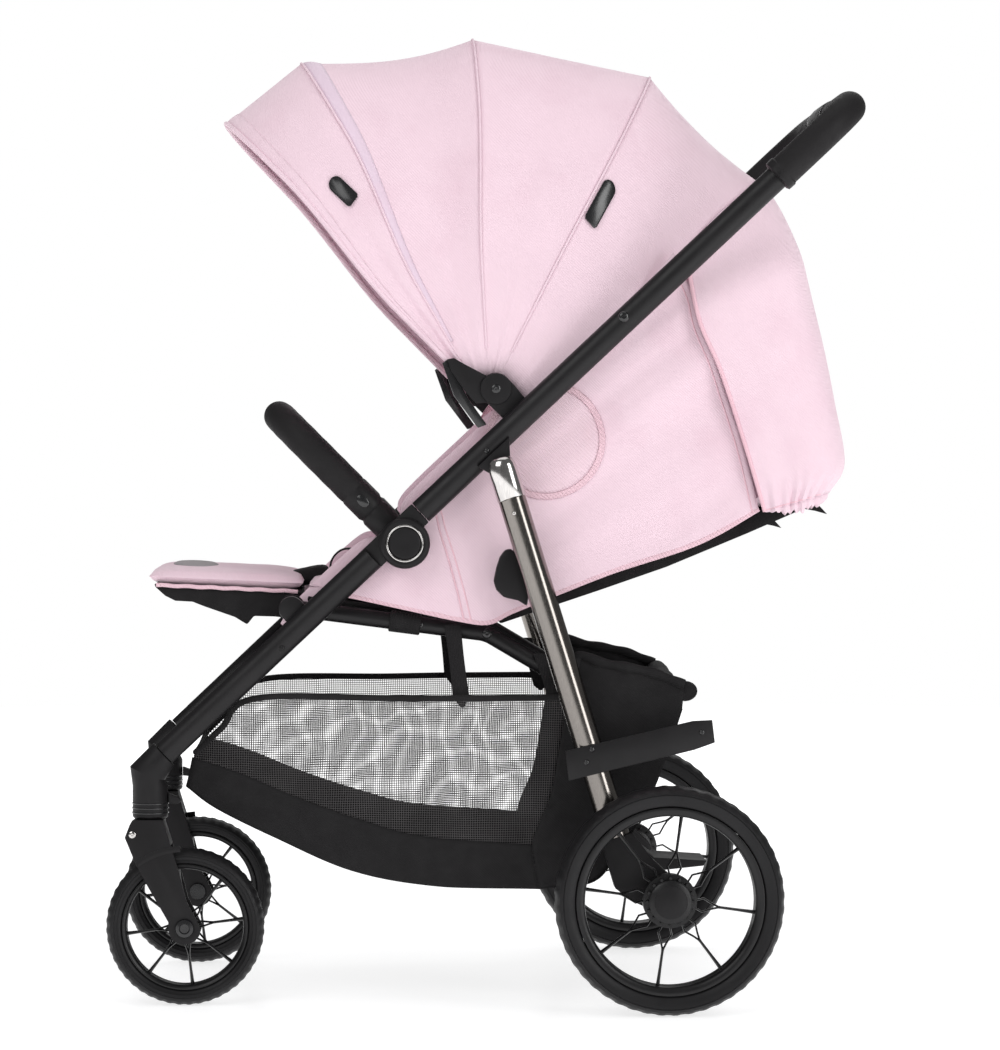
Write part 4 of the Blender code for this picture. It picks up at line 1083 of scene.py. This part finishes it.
def tab(name, one, two, t, u, size, lean, sag):
    """A small rounded plain label sewn on a panel; its upper end is round."""
    here = canopy_point(one, two, t, u, sag)
    up = (canopy_point(one, two, t, u + 0.02, sag) - here).normalized()
    if here.y > 0:
        up = -up
    aside = (canopy_point(one, two, t + 0.02, u, sag) - here).normalized()
    normal = up.cross(aside).normalized()
    if normal.y * here.y < 0:
        normal = -normal
    turned = Matrix.Rotation(lean, 3, normal)
    up = turned @ up
    aside = turned @ aside
    length, width = size
    shape = []
    for k in range(13):
        turn = math.pi * k / 12
        shape.append((width / 2 * math.cos(turn), length / 2 - width / 2 + width / 2 * math.sin(turn)))
    shape += [(-width / 2, -length / 2 + 0.003), (-width / 2 + 0.002, -length / 2)]
    shape += [(width / 2 - 0.002, -length / 2), (width / 2, -length / 2 + 0.003)]
    rings = []
    for lift, scale in ((0.0006, 1.0), (0.0020, 1.0), (0.0026, 0.88)):
        squeeze = 1 - (1 - scale) * 0.4
        rings.append([here + aside * (x * scale) + up * (y * squeeze) + normal * lift for x, y in shape])
    made = piece(name, add_loft(bmesh.new(), rings), "gloss", None, 40)
    blend_across(made)


def tabs():
    """The plain black labels on the canopy."""
    for label, side in SIDES:
        u = 0.60 if side < 0 else math.pi - 0.60
        tab("visor_tab_" + label, FRONT_SEAM, VISOR_EDGE, 0.46, u, (0.038, 0.018), 0.25, VISOR_SAG)
        u = 0.535 if side < 0 else math.pi - 0.535
        tab("side_tab_" + label, REAR_SEAM, REAR_EDGE, 0.10, u, (0.056, 0.019), 0.0, REAR_SAG)


# ---------------------------------------------------------------- cloth sides
WINDOW = Vector((0.0656, 0, 0.6366))
SIDE_BOTTOM = [(-0.1560, 0.4620), (-0.0867, 0.4470), (-0.0359, 0.4360), (0.0000, 0.4315), (0.0280, 0.4440)]
SIDE_BOTTOM += [(0.0802, 0.4650), (0.1430, 0.4890), (0.2198, 0.5140), (0.2600, 0.5320), (0.3060, 0.5590)]
SIDE_REAR = [(0.3060, 0.5590), (0.2900, 0.6260), (0.2620, 0.7120), (0.2390, 0.7700), (0.2300, 0.8050)]
SIDE_REAR.append((0.2100, 0.8480))
SIDE_SPLIT = 32             # the column of the side cloth where its front part is sewn on


def tube_place(x, z):
    """How far along a main tube a point lies, and how far below its axis."""
    dx = x - TUBE_FOOT[0]
    dz = z - TUBE_FOOT[1]
    return dx * TUBE_DIRECTION.x + dz * TUBE_DIRECTION.z, dx * TUBE_DOWN.x + dz * TUBE_DOWN.z


def side_depth(x, z):
    """How far out the side cloth stands: a slight belly and soft folds that run with the tube."""
    along, drop = tube_place(x, z)
    inside = smoothstep(-0.005, 0.05, drop)
    calm = smoothstep(0.40, 0.56, along)
    beside_bumper = 0.0085 * smoothstep(0.29, 0.34, along) * (1 - smoothstep(0.42, 0.54, along))
    belly = 0.0050 * inside * smoothstep(0.44, 0.60, along)
    drift = noise.noise(Vector((along * 3.0, drop * 6.0, 3.3))) * 1.6
    fold = math.sin(2 * math.pi * (drop * 12.5 - along * 1.4) + drift * 2.4)
    fold = (abs(fold) ** 1.4) * math.copysign(1.0, fold)
    wide = noise.noise(Vector((along * 5.0, drop * 13.0, 8.1)))
    low = 1 - smoothstep(0.0, 0.05, z - 0.43 - 0.20 * max(0.0, x))
    ripple = math.sin(x * 190 + z * 60) * 0.0006 * low
    return 0.1752 + beside_bumper + belly + calm * inside * (0.0028 * fold + 0.0046 * wide) + ripple


def side_point(side, x, z, lift=0.0):
    """A point on the side cloth."""
    return Vector((x, side * (side_depth(x, z) + lift), z))


def patch(one, two, start, end, columns, rows):
    """A grid of (x, z) points between four border runs: one below two, start and end at their ends."""
    bottom = curve_flat(one, columns)
    top = curve_flat(two, columns)
    first = curve_flat(start, rows)
    last = curve_flat(end, rows)
    grid = []
    for j in range(rows + 1):
        t = j / rows
        line = []
        for i in range(columns + 1):
            s = i / columns
            point = bottom[i] * (1 - t) + top[i] * t + first[j] * (1 - s) + last[j] * s
            corners = bottom[0] * ((1 - s) * (1 - t)) + bottom[-1] * (s * (1 - t))
            point -= corners + top[0] * ((1 - s) * t) + top[-1] * (s * t)
            line.append((point.x, point.z))
        grid.append(line)
    return grid


def window_ring(side, radius, lift, steps):
    """Points on the side cloth round the window's middle."""
    row = []
    for k in range(steps + 1):
        turn = 2 * math.pi * k / steps
        x = WINDOW.x + radius * math.cos(turn)
        row.append(side_point(side, x, WINDOW.z + radius * math.sin(turn), lift))
    return row


def side_cloth():
    """The side walls with their window flaps, bindings and seams."""
    line = ((0.285, 0.004), (0.34, -0.002), (0.42, -0.004), (0.56, -0.004), (0.70, -0.004))
    top = [flat(on_tube(along, drop)) for along, drop in line] + [SIDE_REAR[-1]]
    start = [SIDE_BOTTOM[0], flat(on_tube(0.285, 0.004))]
    grid = patch(SIDE_BOTTOM, top, start, SIDE_REAR, 120, 72)
    for label, side in SIDES:
        rows = [[side_point(side, x, z) for x, z in row] for row in grid]
        front = [row[:SIDE_SPLIT + 1] for row in rows]
        apron = cloth_sheet("side_front_" + label, front, "pink", "lower_frame", 0.0014)
        wall = cloth_sheet("side_cloth_" + label, [row[SIDE_SPLIT:] for row in rows], "pink", "upper_frame",
                           0.0014, 0.0, ("side_panel_" + label,))

        edge = ((0.0600, 0.0014), (0.0606, 0.0030), (0.0660, 0.0030), (0.0668, 0.0014))
        rows = [window_ring(side, out, lift, 96) for out, lift in edge]
        tape = cloth_sheet("window_tape_" + label, rows, "pink_mesh", "upper_frame", 0.0008, closed=True)
        rows = []
        for j in range(13):
            rows.append(window_ring(side, 0.0602 * j / 12, 0.0020 + 0.0022 * (1 - (j / 12) ** 2), 72))
        cover = cloth_sheet("window_cover_" + label, rows, "lining", "upper_frame", 0.0008, closed=True)
        parts = [wall, tape, cover]

        path = [side_point(side, x, z) for x, z in grid[0]]
        bm = add_tube(bmesh.new(), path[:SIDE_SPLIT + 1], 0.0011, 0.0030, side=(0, 1, 0), count=12)
        piece("front_binding_" + label, bm, "pink_mesh", "lower_frame", 60)
        bm = add_tube(bmesh.new(), path[SIDE_SPLIT:], 0.0011, 0.0030, side=(0, 1, 0), count=12)
        parts.append(piece("side_binding_" + label, bm, "pink_mesh", "upper_frame", 60))
        seams = bmesh.new()
        for column in (SIDE_SPLIT, SIDE_SPLIT + 2, len(grid[0]) - 3):
            run = [row[column] for row in grid[:-6]]
            add_tube(seams, [side_point(side, x, z, 0.0006) for x, z in run], 0.0009, count=8)
        parts.append(piece("side_seams_" + label, seams, "pink_piping", "upper_frame", 60))
        for part in parts:
            on_tube(0.5, 0.0)
            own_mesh(part)


# how far along the tube, and the share of the strip's full height there
UPPER_STRIP = ((0.388, 0.0), (0.41, 0.90), (0.50, 1.0), (0.548, 0.85), (0.585, 0.0))
LOWER_STRIP = ((0.205, 0.25), (0.23, 0.85), (0.29, 1.0), (0.335, 0.80), (0.352, 0.0))


def edge_strips():
    """The padded edge of the seat's side wall that shows above each tube."""
    for label, side in SIDES:
        for part, spans in (("upper", UPPER_STRIP), ("lower", LOWER_STRIP)):
            low = []
            high = []
            for along, height in spans:
                low.append(tuple(on_tube(along, -0.004)))
                high.append(tuple(on_tube(along, -0.0135 - 0.0105 * height)))
            under = curve_through(low, 40)
            over = curve_through(high, 40)
            rings = []
            for one, two in zip(under, over):
                middle = (one + two) / 2
                middle.y = side * 0.1435
                half = max(0.0012, (two - one).length / 2)
                rings.append(oval(middle, Vector((0, 1, 0)), -TUBE_DOWN, 0.0048, half, 20))
            bm = add_loft(bmesh.new(), rings)
            made = piece(f"edge_strip_{part}_{label}", bm, "pink", part + "_frame", 60)


def back_flap():
    """The cloth bag behind the back with its piped front edge and gathered hem."""
    front = [(0.3120, 0.5560), (0.2915, 0.6254), (0.2630, 0.7120), (0.2400, 0.7650), (0.2310, 0.8030)]
    front += [(0.2330, 0.8300), (0.2400, 0.8560)]
    back = [(0.3900, 0.5780), (0.4110, 0.6120), (0.4020, 0.6820), (0.3920, 0.7400), (0.3790, 0.7960)]
    back += [(0.3640, 0.8560), (0.3500, 0.9060), (0.3430, 0.9290)]
    plan = [(0.0, 0.1935), (0.22, 0.1955), (0.45, 0.1955), (0.66, 0.190), (0.84, 0.174), (0.955, 0.142)]
    plan += [(0.99, 0.10), (1.0, 0.05)]
    fronts = curve_flat(front, 64)
    backs = curve_flat(back, 64)
    half = curve_through([(f, w, 0) for f, w in plan], 40)
    shape = [(p.x, -p.y) for p in half] + [(1.0, 0.0)] + [(p.x, p.y) for p in reversed(half)]
    rows = []
    for j, (one, two) in enumerate(zip(fronts, backs)):
        t = j / 64
        row = []
        for k, (f, w) in enumerate(shape):
            point = one.lerp(two, f)
            point.y = w
            turn = k / (len(shape) - 1)
            sideways = math.copysign(1 - smoothstep(0.7, 1.0, f), w)
            outward = Vector((smoothstep(0.5, 1.0, f), sideways, 0)).normalized()
            inner = smoothstep(0.0, 0.12, f)
            phase = 1.8 * noise.noise(Vector((turn * 9, 0.7, 0)))
            pleat = math.sin(turn * 2 * math.pi * 17 + phase) * (1 - smoothstep(0.0, 0.16, t))
            drape = noise.noise(Vector((turn * 7.0, t * 1.6 + turn * 1.2, 5.0)))
            point += outward * (inner * (0.0022 * pleat + 0.0052 * drape * (1 - smoothstep(0.8, 1.0, t))))
            seam = canopy_point(REAR_EDGE, REAR_EDGE, 0, 0.62 + (math.pi - 1.24) * turn)
            row.append(point.lerp(seam, smoothstep(0.74, 1.0, t)))
        rows.append(row)
    flap = cloth_sheet("back_flap_cloth", rows, "pink", "upper_frame", 0.0016, 0.0, ("back_flap",))

    hem = []
    for j in range(9):
        turn = math.pi * j / 8
        row = []
        for k, point in enumerate(rows[0]):
            f = shape[k][0]
            puff = 0.0085 + 0.0020 * math.sin(k * 1.9) + 0.0012 * math.sin(k * 0.7)
            sideways = math.copysign(1 - smoothstep(0.75, 1.0, f), shape[k][1])
            inward = Vector((-smoothstep(0.6, 1.0, f), -sideways, 0)).normalized()
            size = puff * smoothstep(-0.1, 0.5, f)
            drop = Vector((0, 0, 0.0010 - size * math.sin(turn) * 1.35))
            row.append(point + drop + inward * (size * (1 - math.cos(turn)) * 0.55 + 0.001))
        hem.append(row)
    puffed = cloth_sheet("back_flap_hem", hem, "pink", "upper_frame", 0.0014)

    bm = bmesh.new()
    for start in (0, len(shape) - 1):
        add_tube(bm, [row[start] for row in rows], 0.0024, side=(0, 1, 0), count=10)
    add_tube(bm, [p + Vector((0, 0, 0.0015)) for p in rows[0]], 0.0012, side=(0, 0, 1), count=8)
    piping = piece("back_flap_piping", bm, "pink_piping", "upper_frame", 60)
    for part in (flap, puffed, piping):
        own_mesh(part)


# ---------------------------------------------------------------- basket
NET_TOP = [(-0.3290, 0.2830), (-0.3000, 0.3110), (-0.2610, 0.3455), (-0.1000, 0.3470), (0.0900, 0.3480)]
NET_LOW = [(-0.3330, 0.2780), (-0.2780, 0.2600), (-0.2105, 0.2320), (-0.1400, 0.2080), (-0.0760, 0.1915)]
NET_LOW.append((0.0500, 0.1810))
NET_REAR = [(0.0500, 0.1810), (0.0700, 0.2350), (0.0810, 0.2950), (0.0900, 0.3480)]
TUB_LOW = [(-0.3400, 0.2450), (-0.3060, 0.2200), (-0.2390, 0.1870), (-0.1540, 0.1510), (-0.0640, 0.1350)]
TUB_LOW.append((0.0590, 0.1310))
TUB_REAR = [(0.0590, 0.1310), (0.1200, 0.1390), (0.1480, 0.1750), (0.1740, 0.2150), (0.2000, 0.2800)]
TUB_REAR.append((0.2180, 0.3350))
RIM_REAR = [(0.0900, 0.3480), (0.0950, 0.3780), (0.1020, 0.3950), (0.1295, 0.3865), (0.1810, 0.3765)]
RIM_REAR.append((0.2200, 0.3620))


def basket_y(side, x, z):
    """The basket's sides: wider at the back, drawn in below, with slack in the net."""
    wide = 0.155 + 0.050 * min(1.0, (x + 0.345) / 0.30)
    depth = min(1.0, max(0.0, (0.347 - z) / 0.21))
    slack = 0.0035 * noise.noise(Vector((x * 7.0, z * 9.0, side * 2.0 + 4.0)))
    return side * (wide - 0.020 * depth ** 1.5 + slack * smoothstep(0.0, 0.3, depth))


def basket_grid(side, one, two, start, end, columns, rows, grow=1.0):
    """A grid of points on one of the basket's sides, between four border runs."""
    grid = patch(one, two, start, end, columns, rows)
    return [[Vector((x, basket_y(side, x, z) * grow, z)) for x, z in row] for row in grid]


def on_basket(side, points, count):
    """A smooth run on one of the basket's sides."""
    return [at_y(point, basket_y(side, point.x, point.z)) for point in curve_flat(points, count)]


def basket():
    """A net basket with a black tub, tapes and straps."""
    parts = []
    for label, side in SIDES:
        rows = basket_grid(side, NET_LOW, NET_TOP, [NET_LOW[0], NET_TOP[0]], NET_REAR, 72, 32)
        net = cloth_sheet("basket_net_" + label, rows, "net", "lower_frame", 0.0006)

        lows = [TUB_LOW[0], NET_LOW[0]]
        highs = [TUB_LOW[-1], NET_LOW[-1]]
        bm = add_grid(bmesh.new(), basket_grid(side, TUB_LOW, NET_LOW, lows, highs, 72, 12, 1.001))
        start = [TUB_LOW[-1]] + NET_REAR
        end = [TUB_REAR[-1], RIM_REAR[-1]]
        add_grid(bm, basket_grid(side, TUB_REAR, RIM_REAR, start, end, 40, 40, 1.001))
        tub = piece("basket_wall_" + label, bm, "black_cloth", None, 60)
        thickened(tub, 0.0012, 0.0)
        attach(tub, "lower_frame")

        bm = add_tube(bmesh.new(), on_basket(side, NET_TOP, 90), 0.0014, 0.0036, count=12)
        tape = piece("basket_tape_" + label, bm, "webbing", "lower_frame", 60)
        bm = add_tube(bmesh.new(), on_basket(side, RIM_REAR[1:], 50), 0.0060, 0.0060, count=16,
                      swell=lambda k: 0.92 + 0.10 * math.sin(k * 0.55))
        roll = piece("basket_roll_" + label, bm, "black_cloth", "lower_frame", 60)
        parts += [net, tub, tape, roll]

    rows = []
    for point in curve_flat(TUB_LOW, 70) + curve_flat(TUB_REAR, 50)[1:]:
        row = []
        for k in range(25):
            v = -1 + 2 * k / 24
            slack = noise.noise(Vector((point.x * 8, v * 2.2, 1.0)))
            sag = 0.0035 * (1 - v * v) + 0.0025 * slack * (1 - v ** 4)
            row.append(Vector((point.x, abs(basket_y(1, point.x, point.z)) * v, point.z - sag * 0.4)))
        rows.append(row)
    floor_cloth = cloth_sheet("basket_floor", rows, "black_cloth", "lower_frame", 0.0012, 0.0, ("basket",))
    parts.append(floor_cloth)

    rows = []
    for j in range(11):
        t = j / 10
        row = []
        for k in range(25):
            v = -1 + 2 * k / 24
            x = -0.3400 + 0.0110 * t
            z = 0.2450 + 0.0380 * t
            bulge = 0.004 * math.sin(math.pi * t) * (1 - v * v)
            row.append(Vector((x - bulge, abs(basket_y(1, x, z)) * v, z - 0.004 * (1 - v * v) * t)))
        rows.append(row)
    front = cloth_sheet("basket_front", rows, "black_cloth", "lower_frame", 0.0012)
    parts.append(front)
    bm = bmesh.new()
    path = [p + Vector((0, 0, 0.001)) for p in rows[-1]]
    add_tube(bm, path, 0.0034, side=(0, 0, 1), count=12)
    last = []
    for k in range(41):
        y = 0.205 * (-1 + k / 20)
        last.append(Vector((0.2225, y, 0.3550 - 0.008 * (1 - (y / 0.205) ** 2))))
    add_tube(bm, last, 0.0110, 0.0125, side=(0, 0, 1), count=20, swell=lambda k: 1 + 0.05 * math.sin(k * 0.9))
    parts.append(piece("basket_cross_rims", bm, "black_cloth", "lower_frame", 60))
    for part in parts:
        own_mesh(part)

    for label, side in SIDES:
        strap("hanger_front_" + label, side, (-0.0390, 0.4280), (-0.0300, 0.3480), 0.0190, 0.012)
        strap("hanger_rear_" + label, side, (0.0600, 0.3950), (0.0780, 0.3350), 0.0150, 0.006)


def strap(name, side, top, low, width, tip):
    """A short flat strap from the seat frame to the basket's rim, cut to a point below."""
    top = Vector((top[0], side * 0.1700, top[1]))
    low = Vector((low[0], side * 0.1960, low[1]))
    along = (low - top).normalized()
    aside = Vector((1, 0, 0))
    outline = []
    for k in range(9):
        t = k / 8
        outline.append((top.lerp(low, t), width / 2 * (1.0 - 0.10 * math.sin(math.pi * t))))
    rings = []
    for point, half in outline:
        rings.append(oval(point, aside, aside.cross(along), half, 0.0011, 16))
    rings.append(oval(low + along * tip, aside, aside.cross(along), 0.0020, 0.0011, 16))
    piece(name, add_loft(bmesh.new(), rings), "webbing", "seat", 40)


# ---------------------------------------------------------------- seat, back and leg rest
def pillow(name, start, direction, length, half_width, low, high, look, body,
           channels=(), replaces=()):
    """A crowned pad whose sides draw in, with sewn channels across it at shares of its length."""
    normal = Vector((-direction.z, 0, direction.x))
    bm = bmesh.new()
    columns = 44
    lines = 44
    grids = []
    for top in (1, -1):
        rows = []
        for i in range(columns + 1):
            s = -1 + 2 * i / columns
            row = []
            for k in range(lines + 1):
                v = -1 + 2 * k / lines
                round_s = (1 - abs(s) ** 5.0) ** 0.40
                round_v = (1 - abs(v) ** 6.0) ** 0.40
                edge = round_s * round_v
                share = (s + 1) / 2
                dip = 1.0
                for channel in channels:
                    dent = math.exp(-((share - channel) * length / 0.006) ** 2)
                    dip -= 0.34 * dent * (1 - abs(v) ** 8)
                pucker = 0.04 * noise.noise(Vector((s * 3.0, v * 4.0, 2.0 + top)))
                middle = (low + high) / 2
                height = (high - low) / 2 * edge * (dip if top > 0 else 1.0) * (1 + pucker)
                squeeze = 1 - 0.018 * (1 - abs(s) ** 2)
                point = Vector(start) + direction * (length * share) + normal * (middle + top * height)
                point.y = half_width * v * squeeze
                row.append(point)
            rows.append(row)
        grids.append(rows)
    for rows in grids:
        add_grid(bm, rows)
    bmesh.ops.remove_doubles(bm, verts=bm.verts, dist=2e-5)
    made = piece(name, bm, look, body, 60, replaces)
    return made


def seat():
    """The seat pad, the reclined back and the leg rest."""
    direction = (SEAT_HINGE - SEAT_PIVOT).normalized()
    start = SEAT_PIVOT + Vector((0.016, 0, -0.0024))
    pillow("seat_pad", start, direction, 0.196, 0.150, 0.0160, 0.0400, "pink", "seat", (0.33, 0.66),
           ("seat_base",))
    bm = bmesh.new()
    normal = Vector((-direction.z, 0, direction.x))
    shape = ((0.0, 0.0098), (0.192, 0.0098), (0.192, 0.0158), (0.0, 0.0158))
    corners = [flat(start + direction * a + normal * n) for a, n in shape]
    merge(bm, plate(corners, -0.1495, 0.1495, 0.002))
    piece("seat_board", bm, "black_cloth", "seat", 40)

    direction = Vector((math.cos(math.radians(21.6)), 0, math.sin(math.radians(21.6))))
    start = SEAT_HINGE + direction * 0.018
    normal = Vector((-direction.z, 0, direction.x))
    shape = [(0.0, 0.0035), (0.120, -0.0030), (0.200, -0.0065), (0.300, -0.0050), (0.392, -0.0020)]
    shape += [(0.394, 0.0060), (0.392, 0.0138), (0.0, 0.0138)]
    outline = [flat(start + direction * a + normal * n) for a, n in shape]
    board = plate(outline, -0.148, 0.148, 0.0025)
    piece("backrest_board", board, "black_cloth", "backrest", 40, ("backrest_frame",))
    bm = bmesh.new()
    for side in (-1, 1):
        for spot, size in ((0.375, 0.016), (0.325, 0.012)):
            tip = start + direction * spot
            shape = [tip + direction * -size * 0.6, tip + direction * size * 0.6 + normal * 0.002]
            shape.append(tip + direction * size * 1.1 - normal * size * 1.15)
            shape.append(tip + direction * size * 0.4 - normal * size * 0.62)
            merge(bm, plate([flat(p) for p in shape], *between(side, 0.1440, 0.1475), 0.0008))
    piece("backrest_tabs", bm, "webbing", "backrest", 40)
    pillow("backrest_cushion", start + direction * 0.010, direction, 0.376, 0.148, 0.0138, 0.0430, "pink",
           "backrest", (0.22, 0.44, 0.66, 0.86), ("backrest_pad",))

    start = Vector((-0.2080, 0, 0.4735))
    direction = Vector((-0.3822, 0, 0.4818)) - start
    length = direction.length
    direction.normalize()
    pillow("legrest_cushion", start, direction, length, 0.142, -0.0125, 0.0112, "pink", "legrest", (),
           ("legrest_pad",))
    normal = Vector((-direction.z, 0, direction.x))
    outline = [(-0.3765, 0.4735), (-0.3747, 0.4697), (-0.3640, 0.4600), (-0.3526, 0.4543), (-0.3331, 0.4532)]
    outline += [(-0.3200, 0.4480), (-0.2853, 0.4358), (-0.2712, 0.4272), (-0.2636, 0.4369), (-0.2400, 0.4362)]
    outline += [(-0.2212, 0.4340), (-0.2100, 0.4400), (-0.2100, 0.4640), (-0.2300, 0.4660), (-0.3300, 0.4720)]
    under = plate(outline, -0.138, 0.138, 0.0020)
    piece("legrest_under", under, "black_cloth", "legrest", 40, ("legrest_board",))
    bm = bmesh.new()
    spot = start + direction * (length * 0.73) - normal * 0.0112
    rings = []
    for lift, size in ((0.0030, 1.0), (-0.0012, 1.0), (-0.0030, 0.86)):
        rings.append(oval(spot + normal * lift, direction, Vector((0, 1, 0)), 0.026 * size, 0.085 * size, 48))
    add_loft(bm, rings)
    piece("legrest_patch", bm, "grey_patch", "legrest", 40)
    bm = bmesh.new()
    for side in (-1, 1):
        path = []
        for k in range(41):
            t = 0.03 + 0.92 * k / 40
            rim = start + direction * (length * t) + normal * (0.0088 + 0.0004 * math.sin(t * 40))
            path.append(at_y(rim, side * 0.1420))
        add_tube(bm, path, 0.0024, side=(0, 1, 0), count=10)
    piece("legrest_binding", bm, "pink_mesh", "legrest", 60)

    for label, side in SIDES:
        bm = bmesh.new()
        profile = [(0, 0), (0.0125, 0), (0.0150, 0.0015), (0.0150, 0.0065), (0.0135, 0.0080), (0, 0.0084)]
        add_turned(bm, profile, (SEAT_PIVOT.x, side * 0.1500, SEAT_PIVOT.z), (0, side, 0), 36)
        piece("legrest_joint_" + label, bm, "plastic", "legrest", 40)

    loop = [(-0.178, -0.010, 0.4700), (-0.1765, -0.010, 0.4950), (-0.1640, -0.010, 0.5085)]
    loop += [(-0.1480, -0.012, 0.5070), (-0.1400, -0.014, 0.4900), (-0.1390, -0.016, 0.4680)]
    bm = add_tube(bmesh.new(), curve_through(loop, 40), 0.0095, 0.0012, side=(0, 1, 0), count=12)
    piece("crotch_loop", bm, "webbing", "seat", 60)
    start = SEAT_PIVOT + Vector((-0.004, 0, 0.0))
    pillow("crotch_pad", start, Vector((0.98, 0, 0.199)), 0.052, 0.034, 0.016, 0.036, "black_cloth", "seat")


add_camera()
add_studio()
lower_tubes()
upper_tubes()
fold_hinges()
handle_middle()
wheels()
front_casters()
rear_legs()
seat_frame()
bumper()
canopy()
ribs()
canopy_hinges()
tabs()
side_cloth()
edge_strips()
back_flap()
basket()
seat()
